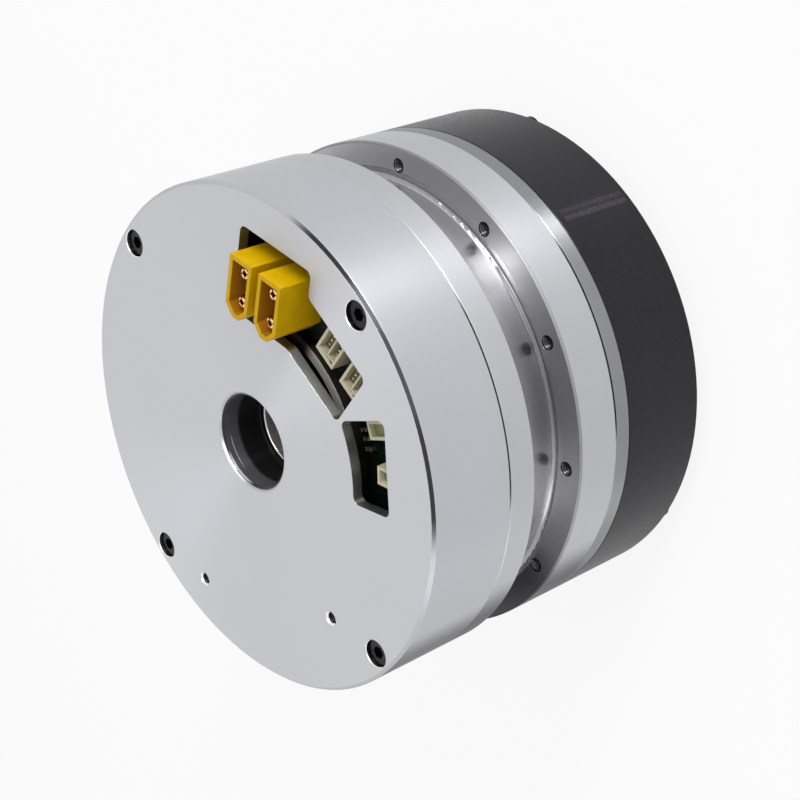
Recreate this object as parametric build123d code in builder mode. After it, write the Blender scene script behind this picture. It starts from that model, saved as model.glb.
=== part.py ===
from build123d import *
from math import acos, atan2, cos, pi, radians, sin, sqrt, tan
import os

# Hollow-shaft robot joint actuator, in millimetres. The axis is +Z, the output face lies at z = 0
# and the connectors point up. Lengths are driving sizes; the levels and radii below follow them.

# Fits and clearances
press_gap = 0.02
running_gap = 0.03
side_gap = 0.3

# Gear train: a stepped planet set between the sun on the rotor shaft and the fixed ring
module_size = 0.8
pressure_angle = radians(20)
sun_teeth = 27
big_teeth = 28
small_teeth = 14
planet_count = 3
addendum = 0.8 * module_size
dedendum = 1.0 * module_size
backlash = 0.05
small_gear_width = 4.8
gear_neck_width = 0.4
big_gear_width = 4.6
gear_side_gap = 0.2
carrier_front_thick = 1.4
carrier_rear_thick = 1.8
pin_radius = 2.5
bush_wall = 0.75
post_radius = 4.6
post_inset = 2.0

# Output side
output_proud = 4.0
output_rim = 6.0
output_shoulder_width = 3.0
output_chamfer = 0.5
journal_wall = 2.3
seal_width = 2.0
seal_section = 2.2
roller_radius = 2.0
roller_clearance = 0.03
roller_count = 24
race_wall = 1.629
race_rim = 0.429
output_bolt_inset = 5.0
output_bolt_count = 6
output_tap_radius = 1.65
output_tap_depth = 5.0

# Gearbox shell and ring gear
ring_bore_clearance = 0.5
ring_sleeve_wall = 2.5
ring_lip_thick = 1.2
ring_flange_thick = 3.0
screw_wall = 2.62
rim_wall = 3.0
body_pocket_depth = 1.6

# Body
flange_thick = 8.4
groove_width = 10.1
groove_depth = 5.5
rim_thick = 5.3
groove_fillet = 0.8
edge_break = 0.3
seam_break = 0.15
face_chamfer = 0.53
mount_bolt_count = 12
mount_first_angle = 25.0
mount_tap_radius = 1.25
mount_tap_depth = 4.6
tap_floor = 0.6
neck_wall = 3.2
stator_step = 1.2
bracket_seat = 2.8

# Hollow shaft and rotor
tube_inner_radius = 6.9
tube_wall = 0.6
shaft_clearance = 0.4
shaft_wall = 2.1
shaft_shoulder = 1.4
bearing_section = 3.5
bearing_width = 4.0
ball_radius = 1.15
ball_clearance = 0.05
ball_count = 8
hub_wall = 2.0
hub_web_thick = 3.0
back_iron_thick = 2.9
magnet_thick = 2.0
air_gap = 0.6
magnet_count = 20
magnet_fill = 0.86

# Stator
slot_count = 18
tooth_length = 5.6
tooth_width = 4.2
tooth_tip_thick = 1.2
shoe_fill = 0.84
yoke_thick = 3.2
coil_side_gap = 0.39
coil_gap = 0.1
end_space = 0.7

# Rear bracket and boards
bracket_thick = 2.0
bracket_screw_count = 6
shroud_room = 7.2
shroud_wall = 1.7
shroud_drop = 4.0
board_thick = 1.6
board_drop = 5.4
board_edge_gap = 1.8
board_bore_gap = 0.9
board_notch_gap = 0.6
standoff_radius = 2.5
standoff_inset = 0.2
standoff_angles = (105.0, 210.0, 270.0, 330.0)
bearing_boss_wall = 2.5
bearing_lip = 0.5
encoder_board_thick = 1.0
encoder_board_gap = 0.6
encoder_post_radius = 1.6
encoder_post_inset = 0.7
encoder_post_angles = (90.0, 210.0, 330.0)
ring_magnet_wall = 2.4
output_magnet_wall = 1.9
output_magnet_height = 1.4
output_magnet_drop = 0.2
shaft_end_gap = 0.6
sensor_size = 3.0
sensor_height = 0.8
magnet_air_gap = 0.4
phase_post_radius = 1.2
phase_hole_gap = 1.0
phase_slots = (8, 9, 10)
transistor_size = 5.0
transistor_height = 1.2
transistor_angles = (225.0, 245.0, 265.0, 285.0, 305.0, 325.0)
capacitor_radius = 3.0
capacitor_height = 6.5
capacitor_angles = (122.0, 142.0, 8.0, 28.0)

# Rear cover
cover_height = 15.9
cover_wall = 2.5
cover_plate = 1.8
cover_screw_inset = 3.2
cover_screw_angles = (45.0, 135.0, 225.0, 315.0)
cover_boss_radius = 3.8
accessory_holes = ((-16.8, -30.6), (17.3, -25.5))
accessory_tap_radius = 1.25
accessory_boss_radius = 2.8
accessory_boss_height = 3.1
sleeve_wall = 0.4
sleeve_bore_radius = 7.7
sleeve_collar_radius = 10.6
sleeve_collar_thick = 1.2
cover_hub_radius = 11.0
cover_hub_height = 2.0
sleeve_chamfer = 0.3
sleeve_lip = 0.25
tube_drop = 8.5

# Power connectors and their window, in a frame whose outward direction is at this angle
power_angle = 74.5
power_inset = 14.6
power_along = 0.6
power_pitch = 6.9
power_width = 5.2
power_length = 10.2
power_corner = 1.8
power_wall = 0.75
power_socket_depth = 6.5
power_proud = 3.5
power_pin_radius = 1.0
power_pin_pitch = 5.0
power_pin_recess = 1.0
power_window_width = 16.82
power_window_inner_margin = 6.95
power_window_outer_margin = 8.05

# Signal sockets beside them, in the same window
signal_angle = 49.7
signal_inset = 14.65
signal_first_along = 1.5
signal_pitch = 6.6
signal_width = 4.5
signal_length = 5.5
socket_height = 3.4
socket_wall = 0.5
socket_floor = 0.9
signal_window_inner_margin = 6.45
signal_window_outer_margin = 4.75
signal_window_end = 10.5
signal_window_root = 8.0
window_fillet = 1.2

# Encoder sockets in the small window
bus_width = 3.0
bus_length = 5.0
bus_inset = 11.8
bus_places = ((14.7, -1.9), (-2.6, -3.5))
bus_window_inner_margin = 5.9
bus_window_outer_margin = 2.1
bus_window_low = -2.95
bus_window_high_angle = 15.6
bus_window_high = 3.65

# Fasteners: head radius, head height, clearance radius, shank radius, thread core radius
m2_head, m2_head_height, m2_clear, m2_shank, m2_core = 1.9, 1.3, 1.1, 1.0, 0.8
m25_head, m25_head_height, m25_clear, m25_shank, m25_core = 2.2, 2.5, 1.45, 1.25, 1.05
m3_head, m3_head_height, m3_clear, m3_shank, m3_core = 2.75, 3.0, 1.7, 1.5, 1.25
head_gap = 0.2
screw_tip_gap = 0.2
hex_depth_share = 0.5
cover_head_recess = 0.6
cover_thread_length = 4.3
m2_thread = 2.8

# Gear sizes that follow
ring_teeth = sun_teeth + big_teeth + small_teeth
orbit_radius = module_size * (sun_teeth + big_teeth) / 2
tooth_thickness = pi * module_size / 2 - backlash
space_thickness = pi * module_size / 2 + backlash
sun_tip = module_size * sun_teeth / 2 + addendum
sun_root = module_size * sun_teeth / 2 - dedendum
big_tip = module_size * big_teeth / 2 + addendum
big_root = module_size * big_teeth / 2 - dedendum
small_tip = module_size * small_teeth / 2 + addendum
small_root = module_size * small_teeth / 2 - dedendum
ring_tip = module_size * ring_teeth / 2 - addendum
ring_root = module_size * ring_teeth / 2 + dedendum
planet_angles = [360 / planet_count * k for k in range(planet_count)]
post_angles = [angle + 180 / planet_count for angle in planet_angles]

# Output side and its bearing follow the carrier posts
post_circle = orbit_radius - post_inset
journal_radius = post_circle + m3_clear + journal_wall
output_radius = journal_radius + output_rim
output_bolt_circle = 2 * (output_radius - output_bolt_inset)
race_half = (roller_radius + roller_clearance) * sqrt(2)
race_mouth = race_half - side_gap
output_bearing_width = 2 * (race_mouth + race_rim)
output_bearing_section = 2 * (race_half + race_wall)

# Radii from the axis outwards
tube_outer = tube_inner_radius + tube_wall
shaft_inner = tube_outer + shaft_clearance
shaft_outer = shaft_inner + shaft_wall
shoulder_radius = shaft_outer + shaft_shoulder
bearing_outer = shaft_outer + bearing_section
web_bore = bearing_outer - 1.1
hub_sleeve_radius = shaft_outer + hub_wall
sleeve_bore = orbit_radius + big_tip + ring_bore_clearance
sleeve_outer = sleeve_bore + ring_sleeve_wall
gearbox_bore = sleeve_outer + 0.04
gearbox_screw_circle = gearbox_bore + screw_wall
body_radius = gearbox_screw_circle + rim_wall
mount_circle = gearbox_screw_circle
neck_radius = body_radius - groove_depth
stator_outer = neck_radius - neck_wall
stator_inner_step = stator_outer - stator_step
stator_bore_radius = stator_outer - yoke_thick - tooth_length
coil_inner = stator_bore_radius + tooth_tip_thick + 0.4
coil_outer = stator_outer - yoke_thick - 0.4
coil_middle = (coil_inner + coil_outer) / 2
coil_wall = coil_inner * tan(pi / slot_count) - tooth_width / 2 - coil_side_gap
magnet_outer = stator_bore_radius - air_gap
magnet_inner = magnet_outer - magnet_thick
back_iron_inner = magnet_inner - back_iron_thick
bracket_radius = stator_outer + bracket_seat
cover_inner = body_radius - cover_wall
cover_screw_circle = body_radius - cover_screw_inset
board_outer = cover_inner - board_edge_gap
shroud_inner_radius = shaft_outer + ring_magnet_wall + shroud_room
shroud_outer = shroud_inner_radius + shroud_wall
encoder_post_circle = shroud_inner_radius - encoder_post_radius - encoder_post_inset
standoff_circle = bracket_radius - standoff_radius - standoff_inset
phase_angles = [360 / slot_count * k for k in phase_slots]
power_out = body_radius - power_inset
signal_out = body_radius - signal_inset
bus_out = body_radius - bus_inset
signal_window_inner = signal_out - signal_window_inner_margin
signal_window_outer = signal_out + signal_window_outer_margin
bus_window_inner = bus_out - bus_window_inner_margin
bus_window_outer = bus_out + bus_window_outer_margin
board_inner = shroud_outer + board_bore_gap
output_bearing_outer_radius = journal_radius + output_bearing_section
seal_outer = output_radius + seal_section
output_shoulder = output_radius - output_shoulder_width
roller_circle = journal_radius + output_bearing_section / 2
carrier_front_radius = ring_tip - 0.46
carrier_rear_radius = orbit_radius + pin_radius + 3.0
bush_inner = pin_radius + running_gap
bush_outer = pin_radius + bush_wall + running_gap

# Levels along the axis
z_gearbox = output_proud
z_bearing = z_gearbox + seal_width
z_carrier = z_bearing + output_bearing_width
z_small = z_carrier + carrier_front_thick + gear_side_gap
z_neck = z_small + small_gear_width
z_big = z_neck + gear_neck_width
z_rear_plate = z_big + big_gear_width + gear_side_gap
z_carrier_top = z_rear_plate + carrier_rear_thick
z_web = z_carrier_top + side_gap
z_body = z_web - body_pocket_depth
z_ring_flange = z_body - ring_flange_thick
z_mount_face = z_body + flange_thick
z_rim = z_mount_face + groove_width
z_seam = z_rim + rim_thick
z_rear = z_seam + cover_height
z_front_bearing = z_web + side_gap
z_web_top = z_front_bearing + bearing_width
z_bracket = z_seam - bracket_thick
z_rear_bearing = z_bracket - 0.5
z_rear_bearing_top = z_rear_bearing + bearing_width
z_coil_low = z_web_top + 0.8
z_coil_high = z_bracket - end_space
z_stator = z_coil_low + coil_wall
z_stator_top = z_coil_high - coil_wall
z_tube_end = z_rear - tube_drop
z_sleeve_end = z_tube_end + side_gap
z_plate = z_rear - cover_plate
z_board = z_rear - board_drop
z_board_under = z_board - board_thick
z_socket_top = z_board + socket_height
z_power_top = z_rear + power_proud
z_encoder_board = z_tube_end + sensor_height
z_sensor = z_encoder_board - sensor_height
z_sleeve_collar_top = z_plate - cover_hub_height
z_output_magnet = z_tube_end - output_magnet_drop - output_magnet_height
z_shaft_end = z_output_magnet - shaft_end_gap
z_cover_head = z_rear - cover_head_recess
z_cover_seat = z_cover_head - m25_head_height
stack_length = z_stator_top - z_stator


def involute(angle):
    return tan(angle) - angle


def polar_point(radius, angle):
    return (radius * cos(angle), radius * sin(angle))


def face_point(out_angle, out, along):
    """A point on the end face, in a frame that looks outwards from the axis at out_angle degrees."""
    a = radians(out_angle)
    return (out * cos(a) + along * sin(a), out * sin(a) - along * cos(a))


def gear_profile(teeth, tip, root, thickness, phase):
    """The outline of an involute gear with a tooth centred at the angle phase, in radians."""
    pitch_radius = module_size * teeth / 2
    base_radius = pitch_radius * cos(pressure_angle)
    start = max(base_radius, root)
    middle = (start + tip) / 2

    def half_angle(radius):
        flank = involute(pressure_angle) - involute(acos(min(1.0, base_radius / radius)))
        return thickness / (2 * pitch_radius) + flank

    with BuildSketch() as profile:
        with BuildLine():
            for k in range(teeth):
                centre = phase + 2 * pi * k / teeth
                low, mid, high = half_angle(start), half_angle(middle), half_angle(tip)
                rising = [
                    polar_point(start, centre - low),
                    polar_point(middle, centre - mid),
                    polar_point(tip, centre - high),
                ]
                falling = [
                    polar_point(tip, centre + high),
                    polar_point(middle, centre + mid),
                    polar_point(start, centre + low),
                ]
                foot = polar_point(root, centre + low)
                next_foot = polar_point(root, centre + 2 * pi / teeth - low)
                if start > root:
                    Line(polar_point(root, centre - low), rising[0])
                    Line(falling[2], foot)
                ThreePointArc(*rising)
                ThreePointArc(rising[2], polar_point(tip, centre), falling[0])
                ThreePointArc(*falling)
                ThreePointArc(foot, polar_point(root, centre + pi / teeth), next_foot)
        make_face()
    return profile.sketch


def ring_profile(inner, outer, low, high):
    """A rectangular section on the XZ plane, ready to revolve into a ring."""
    with BuildSketch(Plane.XZ) as section:
        with Locations(((inner + outer) / 2, (low + high) / 2)):
            Rectangle(outer - inner, high - low)
    return section.sketch


def turned(label, points):
    """A solid of revolution from the corner points of its half section."""
    with BuildPart() as body:
        with BuildSketch(Plane.XZ):
            with BuildLine():
                Polyline(*points, close=True)
            make_face()
        revolve(axis=Axis.Z)
    body.part.label = label
    return body.part


def cap_screws(places, head_bottom, head_side, head_radius, head_height, shank, shank_end, core, tip):
    """Hex socket cap screws on one level. head_side is +1 with the head above its seat, or -1."""
    hex_radius = head_radius * 0.5
    hex_depth = head_height * hex_depth_share
    with BuildPart() as screws:
        with BuildSketch(Plane.XY.offset(head_bottom)):
            with Locations(*places):
                Circle(head_radius)
        extrude(amount=head_side * head_height)
        with BuildSketch(Plane.XY.offset(head_bottom)):
            with Locations(*places):
                Circle(shank)
        extrude(amount=shank_end - head_bottom)
        with BuildSketch(Plane.XY.offset(shank_end)):
            with Locations(*places):
                Circle(core)
        extrude(amount=tip - shank_end)
        with BuildSketch(Plane.XY.offset(head_bottom + head_side * head_height)):
            with Locations(*places):
                RegularPolygon(hex_radius, 6)
        extrude(amount=-head_side * hex_depth, mode=Mode.SUBTRACT)
    return screws.part


def keep(part, label):
    """Names a finished piece and writes its file."""
    part.label = label
    export_step(part, f"parts/{label}.step")


def circle_points(radius, angles):
    return [polar_point(radius, radians(angle)) for angle in angles]


os.makedirs("parts", exist_ok=True)

# The four outlines of the gear train, in mesh with a planet at angle zero
sun_outline = gear_profile(sun_teeth, sun_tip, sun_root, tooth_thickness, pi / sun_teeth)
ring_outline = gear_profile(ring_teeth, ring_root, ring_tip, space_thickness, 0.0)

# Output flange: front plate that carries the load, with the bearing journal behind it
with BuildPart() as output_flange:
    with BuildSketch(Plane.XZ):
        with BuildLine():
            Polyline(
                (tube_outer, 0),
                (output_radius - output_chamfer, 0),
                (output_radius, output_chamfer),
                (output_radius, z_bearing - head_gap),
                (output_shoulder, z_bearing - head_gap),
                (output_shoulder, z_bearing),
                (journal_radius - press_gap, z_bearing),
                (journal_radius - press_gap, z_carrier),
                (tube_outer, z_carrier),
                close=True,
            )
        make_face()
    revolve(axis=Axis.Z)
    with BuildSketch(Plane.XY):
        with PolarLocations(output_bolt_circle / 2, output_bolt_count, 180 / output_bolt_count):
            Circle(output_tap_radius)
    extrude(amount=output_tap_depth, mode=Mode.SUBTRACT)
    with BuildSketch(Plane.XY):
        with Locations(*circle_points(post_circle, post_angles)):
            Circle(m3_head + head_gap)
    extrude(amount=m3_head_height + head_gap * 2, mode=Mode.SUBTRACT)
    with BuildSketch(Plane.XY):
        with Locations(*circle_points(post_circle, post_angles)):
            Circle(m3_clear)
    extrude(amount=z_carrier, mode=Mode.SUBTRACT)
keep(output_flange.part, "output_flange")

# Planet carrier: two plates joined by three posts that stand between the planets
with BuildPart() as planet_carrier:
    with BuildSketch(Plane.XY.offset(z_carrier)):
        Circle(carrier_front_radius)
    extrude(amount=carrier_front_thick)
    with BuildSketch(Plane.XY.offset(z_carrier)):
        with Locations(*circle_points(post_circle, post_angles)):
            Circle(post_radius)
    extrude(amount=z_carrier_top - z_carrier)
    with BuildSketch(Plane.XY.offset(z_rear_plate)):
        Circle(carrier_rear_radius)
    extrude(amount=carrier_rear_thick)
    with BuildSketch(Plane.XY.offset(z_carrier)):
        Circle(shoulder_radius + 1.0)
        with Locations(*circle_points(orbit_radius, planet_angles)):
            Circle(pin_radius)
    extrude(amount=z_carrier_top - z_carrier, mode=Mode.SUBTRACT)
    with BuildSketch(Plane.XY.offset(z_carrier)):
        with Locations(*circle_points(post_circle, post_angles)):
            Circle(m3_core)
    extrude(amount=z_big - z_carrier, mode=Mode.SUBTRACT)
keep(planet_carrier.part, "planet_carrier")

carrier_screws = cap_screws(
    circle_points(post_circle, post_angles),
    m3_head_height + head_gap * 2,
    -1,
    m3_head,
    m3_head_height,
    m3_shank,
    z_carrier,
    m3_core,
    z_big - screw_tip_gap,
)
keep(carrier_screws, "carrier_screws")

with BuildPart() as planet_pins:
    with BuildSketch(Plane.XY.offset(z_carrier)):
        with Locations(*circle_points(orbit_radius, planet_angles)):
            Circle(pin_radius)
    extrude(amount=z_carrier_top - z_carrier)
keep(planet_pins.part, "planet_pins")

# Stepped planets: the small gear runs in the ring, the big one on the sun
for number, angle in enumerate(planet_angles, start=1):
    axis_angle = radians(angle)
    tooth_angle = axis_angle * (1 - ring_teeth / small_teeth)
    centre = polar_point(orbit_radius, axis_angle)
    small_outline = gear_profile(small_teeth, small_tip, small_root, tooth_thickness, tooth_angle)
    big_outline = gear_profile(big_teeth, big_tip, big_root, tooth_thickness, tooth_angle)
    with BuildPart() as planet_gear:
        with BuildSketch(Plane.XY.offset(z_small)):
            with Locations(centre):
                add(small_outline)
        extrude(amount=small_gear_width)
        with BuildSketch(Plane.XY.offset(z_neck)):
            with Locations(centre):
                Circle(small_root - 0.2)
        extrude(amount=gear_neck_width)
        with BuildSketch(Plane.XY.offset(z_big)):
            with Locations(centre):
                add(big_outline)
        extrude(amount=big_gear_width)
        with BuildSketch(Plane.XY.offset(z_small)):
            with Locations(centre):
                Circle(bush_outer)
        extrude(amount=z_rear_plate - z_small, mode=Mode.SUBTRACT)
    keep(planet_gear.part, f"planet_gear_{number}")
    with BuildPart() as planet_bush:
        with BuildSketch(Plane.XY.offset(z_small - gear_side_gap + 0.05)):
            with Locations(centre):
                Circle(bush_outer)
                Circle(bush_inner, mode=Mode.SUBTRACT)
        extrude(amount=z_rear_plate - z_small + gear_side_gap - 0.1)
    keep(planet_bush.part, f"planet_bush_{number}")

# Output bearing: crossed rollers in a square race, between a fixed and a turning ring
race_level = z_bearing + output_bearing_width / 2
keep(
    turned(
        "output_bearing_inner",
        [
            (journal_radius, z_bearing),
            (roller_circle - side_gap, z_bearing),
            (roller_circle - side_gap, race_level - race_mouth),
            (roller_circle - race_half, race_level),
            (roller_circle - side_gap, race_level + race_mouth),
            (roller_circle - side_gap, z_carrier),
            (journal_radius, z_carrier),
        ],
    ),
    "output_bearing_inner",
)
keep(
    turned(
        "output_bearing_outer",
        [
            (output_bearing_outer_radius - press_gap, z_bearing),
            (output_bearing_outer_radius - press_gap, z_carrier),
            (roller_circle + side_gap, z_carrier),
            (roller_circle + side_gap, race_level + race_mouth),
            (roller_circle + race_half, race_level),
            (roller_circle + side_gap, race_level - race_mouth),
            (roller_circle + side_gap, z_bearing),
        ],
    ),
    "output_bearing_outer",
)
with BuildPart() as output_rollers:
    for k in range(roller_count):
        around = 360 / roller_count * k
        tilt = 45 if k % 2 else 135
        with Locations(Plane.XY.rotated((0, 0, around)).offset(race_level).location):
            with Locations(Location((roller_circle, 0, 0), (0, tilt, 0))):
                Cylinder(roller_radius, roller_radius * 2 - 0.1)
keep(output_rollers.part, "output_rollers")

# Lip seal around the output flange, pressed into the mouth of the gearbox shell
keep(
    turned(
        "output_seal",
        [
            (output_radius + 0.1, z_gearbox + 0.2),
            (output_radius + 0.1, z_gearbox + 0.7),
            (output_radius + 1.0, z_gearbox + 1.1),
            (output_radius + 1.0, z_bearing - 0.1),
            (seal_outer, z_bearing - 0.1),
            (seal_outer, z_gearbox + 0.2),
        ],
    ),
    "output_seal",
)

# Gearbox shell: black ring bored in steps for the seal, the bearing and the ring gear
gearbox_screw_angles = [mount_first_angle + 60 + 120 * k for k in range(3)]
with BuildPart() as gearbox_housing:
    with BuildSketch(Plane.XZ):
        with BuildLine():
            Polyline(
                (seal_outer, z_gearbox),
                (body_radius - edge_break, z_gearbox),
                (body_radius, z_gearbox + edge_break),
                (body_radius, z_ring_flange - seam_break),
                (body_radius - seam_break, z_ring_flange),
                (gearbox_bore, z_ring_flange),
                (gearbox_bore, z_carrier),
                (output_bearing_outer_radius, z_carrier),
                (output_bearing_outer_radius, z_bearing),
                (seal_outer, z_bearing),
                close=True,
            )
        make_face()
    revolve(axis=Axis.Z)
    with BuildSketch(Plane.XY.offset(z_gearbox)):
        with Locations(*circle_points(gearbox_screw_circle, gearbox_screw_angles)):
            Circle(m25_clear)
    extrude(amount=z_ring_flange - z_gearbox, mode=Mode.SUBTRACT)
keep(gearbox_housing.part, "gearbox_housing")

# Ring gear: the polished rim shows between the body and the gearbox shell
with BuildPart() as ring_gear:
    with BuildSketch(Plane.XZ):
        with BuildLine():
            Polyline(
                (output_bearing_outer_radius - 2.5, z_carrier),
                (sleeve_outer, z_carrier),
                (sleeve_outer, z_ring_flange),
                (body_radius - seam_break, z_ring_flange),
                (body_radius, z_ring_flange + seam_break),
                (body_radius, z_body - seam_break),
                (body_radius - seam_break, z_body),
                (sleeve_bore, z_body),
                (sleeve_bore, z_neck + gear_side_gap),
                (ring_tip - 1, z_neck + gear_side_gap),
                (ring_tip - 1, z_carrier + ring_lip_thick),
                (output_bearing_outer_radius - 2.5, z_carrier + ring_lip_thick),
                close=True,
            )
        make_face()
    revolve(axis=Axis.Z)
    with BuildSketch(Plane.XY.offset(z_carrier + ring_lip_thick)):
        add(ring_outline)
    extrude(amount=z_neck + gear_side_gap - z_carrier - ring_lip_thick, mode=Mode.SUBTRACT)
    with BuildSketch(Plane.XY.offset(z_ring_flange)):
        with Locations(*circle_points(gearbox_screw_circle, gearbox_screw_angles)):
            Circle(m25_clear)
    extrude(amount=ring_flange_thick, mode=Mode.SUBTRACT)
keep(ring_gear.part, "ring_gear")

gearbox_thread = flange_thick - mount_tap_depth - tap_floor
gearbox_screws = cap_screws(
    circle_points(gearbox_screw_circle, gearbox_screw_angles),
    z_gearbox,
    -1,
    m25_head,
    m25_head_height,
    m25_shank,
    z_body,
    m25_core,
    z_body + gearbox_thread - screw_tip_gap,
)
keep(gearbox_screws, "gearbox_screws")

# Through tube: turns with the output and lines the hollow shaft for cables
with BuildPart() as through_tube:
    with BuildSketch(Plane.XY):
        Circle(tube_outer)
        Circle(tube_inner_radius, mode=Mode.SUBTRACT)
    extrude(amount=z_tube_end)
keep(through_tube.part, "through_tube")

output_magnet_outer = tube_outer + output_magnet_wall
with BuildPart() as output_encoder_magnet:
    with BuildSketch(Plane.XY.offset(z_output_magnet)):
        Circle(output_magnet_outer)
        Circle(tube_outer, mode=Mode.SUBTRACT)
    extrude(amount=output_magnet_height)
keep(output_encoder_magnet.part, "output_encoder_magnet")

# Rotor shaft with the sun gear cut on its end
with BuildPart() as rotor_shaft:
    with BuildSketch(Plane.XY.offset(z_big - gear_side_gap)):
        add(sun_outline)
    extrude(amount=big_gear_width + gear_side_gap * 2)
    with BuildSketch(Plane.XY.offset(z_rear_plate)):
        Circle(shoulder_radius)
    extrude(amount=z_front_bearing - z_rear_plate)
    with BuildSketch(Plane.XY.offset(z_front_bearing)):
        Circle(shaft_outer)
    extrude(amount=z_shaft_end - z_front_bearing)
    with BuildSketch(Plane.XY.offset(z_big - gear_side_gap)):
        Circle(shaft_inner)
    extrude(amount=z_shaft_end - z_big + gear_side_gap, mode=Mode.SUBTRACT)
keep(rotor_shaft.part, "rotor_shaft")

rotor_magnet_low = z_rear_bearing_top + 0.9
with BuildPart() as rotor_encoder_magnet:
    with BuildSketch(Plane.XY.offset(rotor_magnet_low)):
        Circle(shaft_outer + ring_magnet_wall)
        Circle(shaft_outer, mode=Mode.SUBTRACT)
    extrude(amount=z_sensor - magnet_air_gap - rotor_magnet_low)
keep(rotor_encoder_magnet.part, "rotor_encoder_magnet")

# Rotor hub: spacer sleeve between the two bearings, web and back iron in one turning
rotor_web_low = z_stator + 2.0
keep(
    turned(
        "rotor_hub",
        [
            (shaft_outer, z_web_top),
            (hub_sleeve_radius, z_web_top),
            (hub_sleeve_radius, rotor_web_low),
            (back_iron_inner, rotor_web_low),
            (back_iron_inner, z_stator),
            (magnet_inner, z_stator),
            (magnet_inner, z_stator_top),
            (back_iron_inner, z_stator_top),
            (back_iron_inner, rotor_web_low + hub_web_thick),
            (hub_sleeve_radius, rotor_web_low + hub_web_thick),
            (hub_sleeve_radius, z_rear_bearing),
            (shaft_outer, z_rear_bearing),
        ],
    ),
    "rotor_hub",
)

with BuildPart() as rotor_magnets:
    magnet_half_angle = radians(180 / magnet_count * magnet_fill)
    for k in range(magnet_count):
        middle_angle = radians(360 / magnet_count * k)
        first = middle_angle - magnet_half_angle
        last = middle_angle + magnet_half_angle
        with BuildSketch(Plane.XY.offset(z_stator)):
            with BuildLine():
                ThreePointArc(
                    polar_point(magnet_inner, first),
                    polar_point(magnet_inner, middle_angle),
                    polar_point(magnet_inner, last),
                )
                Line(polar_point(magnet_inner, last), polar_point(magnet_outer, last))
                ThreePointArc(
                    polar_point(magnet_outer, last),
                    polar_point(magnet_outer, middle_angle),
                    polar_point(magnet_outer, first),
                )
                Line(polar_point(magnet_outer, first), polar_point(magnet_inner, first))
            make_face()
    extrude(amount=stack_length)
keep(rotor_magnets.part, "rotor_magnets")


# Two thin ball bearings carry the rotor shaft
def rotor_bearing(name, low):
    pitch = (shaft_outer + bearing_outer) / 2
    ring_wall = 0.6
    groove = ball_radius + ball_clearance
    middle_level = low + bearing_width / 2
    for part_name, inner, outer in (
        ("inner", shaft_outer, pitch - ring_wall),
        ("outer", pitch + ring_wall, bearing_outer - press_gap),
    ):
        with BuildPart() as ring:
            add(ring_profile(inner, outer, low, low + bearing_width))
            revolve(axis=Axis.Z)
            with BuildSketch(Plane.XZ):
                with Locations((pitch, middle_level)):
                    Circle(groove)
            revolve(axis=Axis.Z, mode=Mode.SUBTRACT)
        keep(ring.part, f"{name}_{part_name}")
    with BuildPart() as balls:
        with Locations(Plane.XY.offset(middle_level).location):
            with PolarLocations(pitch, ball_count):
                Sphere(ball_radius)
    keep(balls.part, f"{name}_balls")


rotor_bearing("front_bearing", z_front_bearing)
rotor_bearing("rear_bearing", z_rear_bearing)

# Motor housing: mounting flange, neck with the groove, and rear rim, turned from one bar
mount_angles = [mount_first_angle + 360 / mount_bolt_count * k for k in range(mount_bolt_count)]
bracket_screw_circle = stator_outer + bracket_seat / 2
bracket_screw_angles = [360 / bracket_screw_count * k for k in range(bracket_screw_count)]
with BuildPart() as motor_housing:
    with BuildSketch(Plane.XZ) as housing_section:
        with BuildLine():
            Polyline(
                (sleeve_bore, z_body),
                (body_radius - seam_break, z_body),
                (body_radius, z_body + seam_break),
                (body_radius, z_mount_face - edge_break),
                (body_radius - edge_break, z_mount_face),
                (neck_radius, z_mount_face),
                (neck_radius, z_rim),
                (body_radius - edge_break, z_rim),
                (body_radius, z_rim + edge_break),
                (body_radius, z_seam - seam_break),
                (body_radius - seam_break, z_seam),
                (bracket_radius, z_seam),
                (bracket_radius, z_bracket),
                (stator_outer, z_bracket),
                (stator_outer, z_stator),
                (stator_inner_step, z_stator),
                (stator_inner_step, z_web_top),
                (bearing_outer, z_web_top),
                (bearing_outer, z_front_bearing),
                (web_bore, z_front_bearing),
                (web_bore, z_web),
                (sleeve_bore, z_web),
                close=True,
            )
        make_face()
        groove_corners = [v for v in housing_section.vertices() if abs(v.X - neck_radius) < 0.01]
        fillet(groove_corners, groove_fillet)
    revolve(axis=Axis.Z)
    with BuildSketch(Plane.XY.offset(z_mount_face)):
        with Locations(*circle_points(mount_circle, mount_angles)):
            Circle(mount_tap_radius)
    extrude(amount=-mount_tap_depth, mode=Mode.SUBTRACT)
    with BuildSketch(Plane.XY.offset(z_body)):
        with Locations(*circle_points(gearbox_screw_circle, gearbox_screw_angles)):
            Circle(m25_core)
    extrude(amount=gearbox_thread, mode=Mode.SUBTRACT)
    with BuildSketch(Plane.XY.offset(z_seam)):
        with Locations(*circle_points(cover_screw_circle, cover_screw_angles)):
            Circle(m25_core)
    extrude(amount=-cover_thread_length - screw_tip_gap, mode=Mode.SUBTRACT)
    with BuildSketch(Plane.XY.offset(z_bracket)):
        with Locations(*circle_points(bracket_screw_circle, bracket_screw_angles)):
            Circle(m2_core)
    extrude(amount=-m2_thread - screw_tip_gap, mode=Mode.SUBTRACT)
keep(motor_housing.part, "motor_housing")

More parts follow.
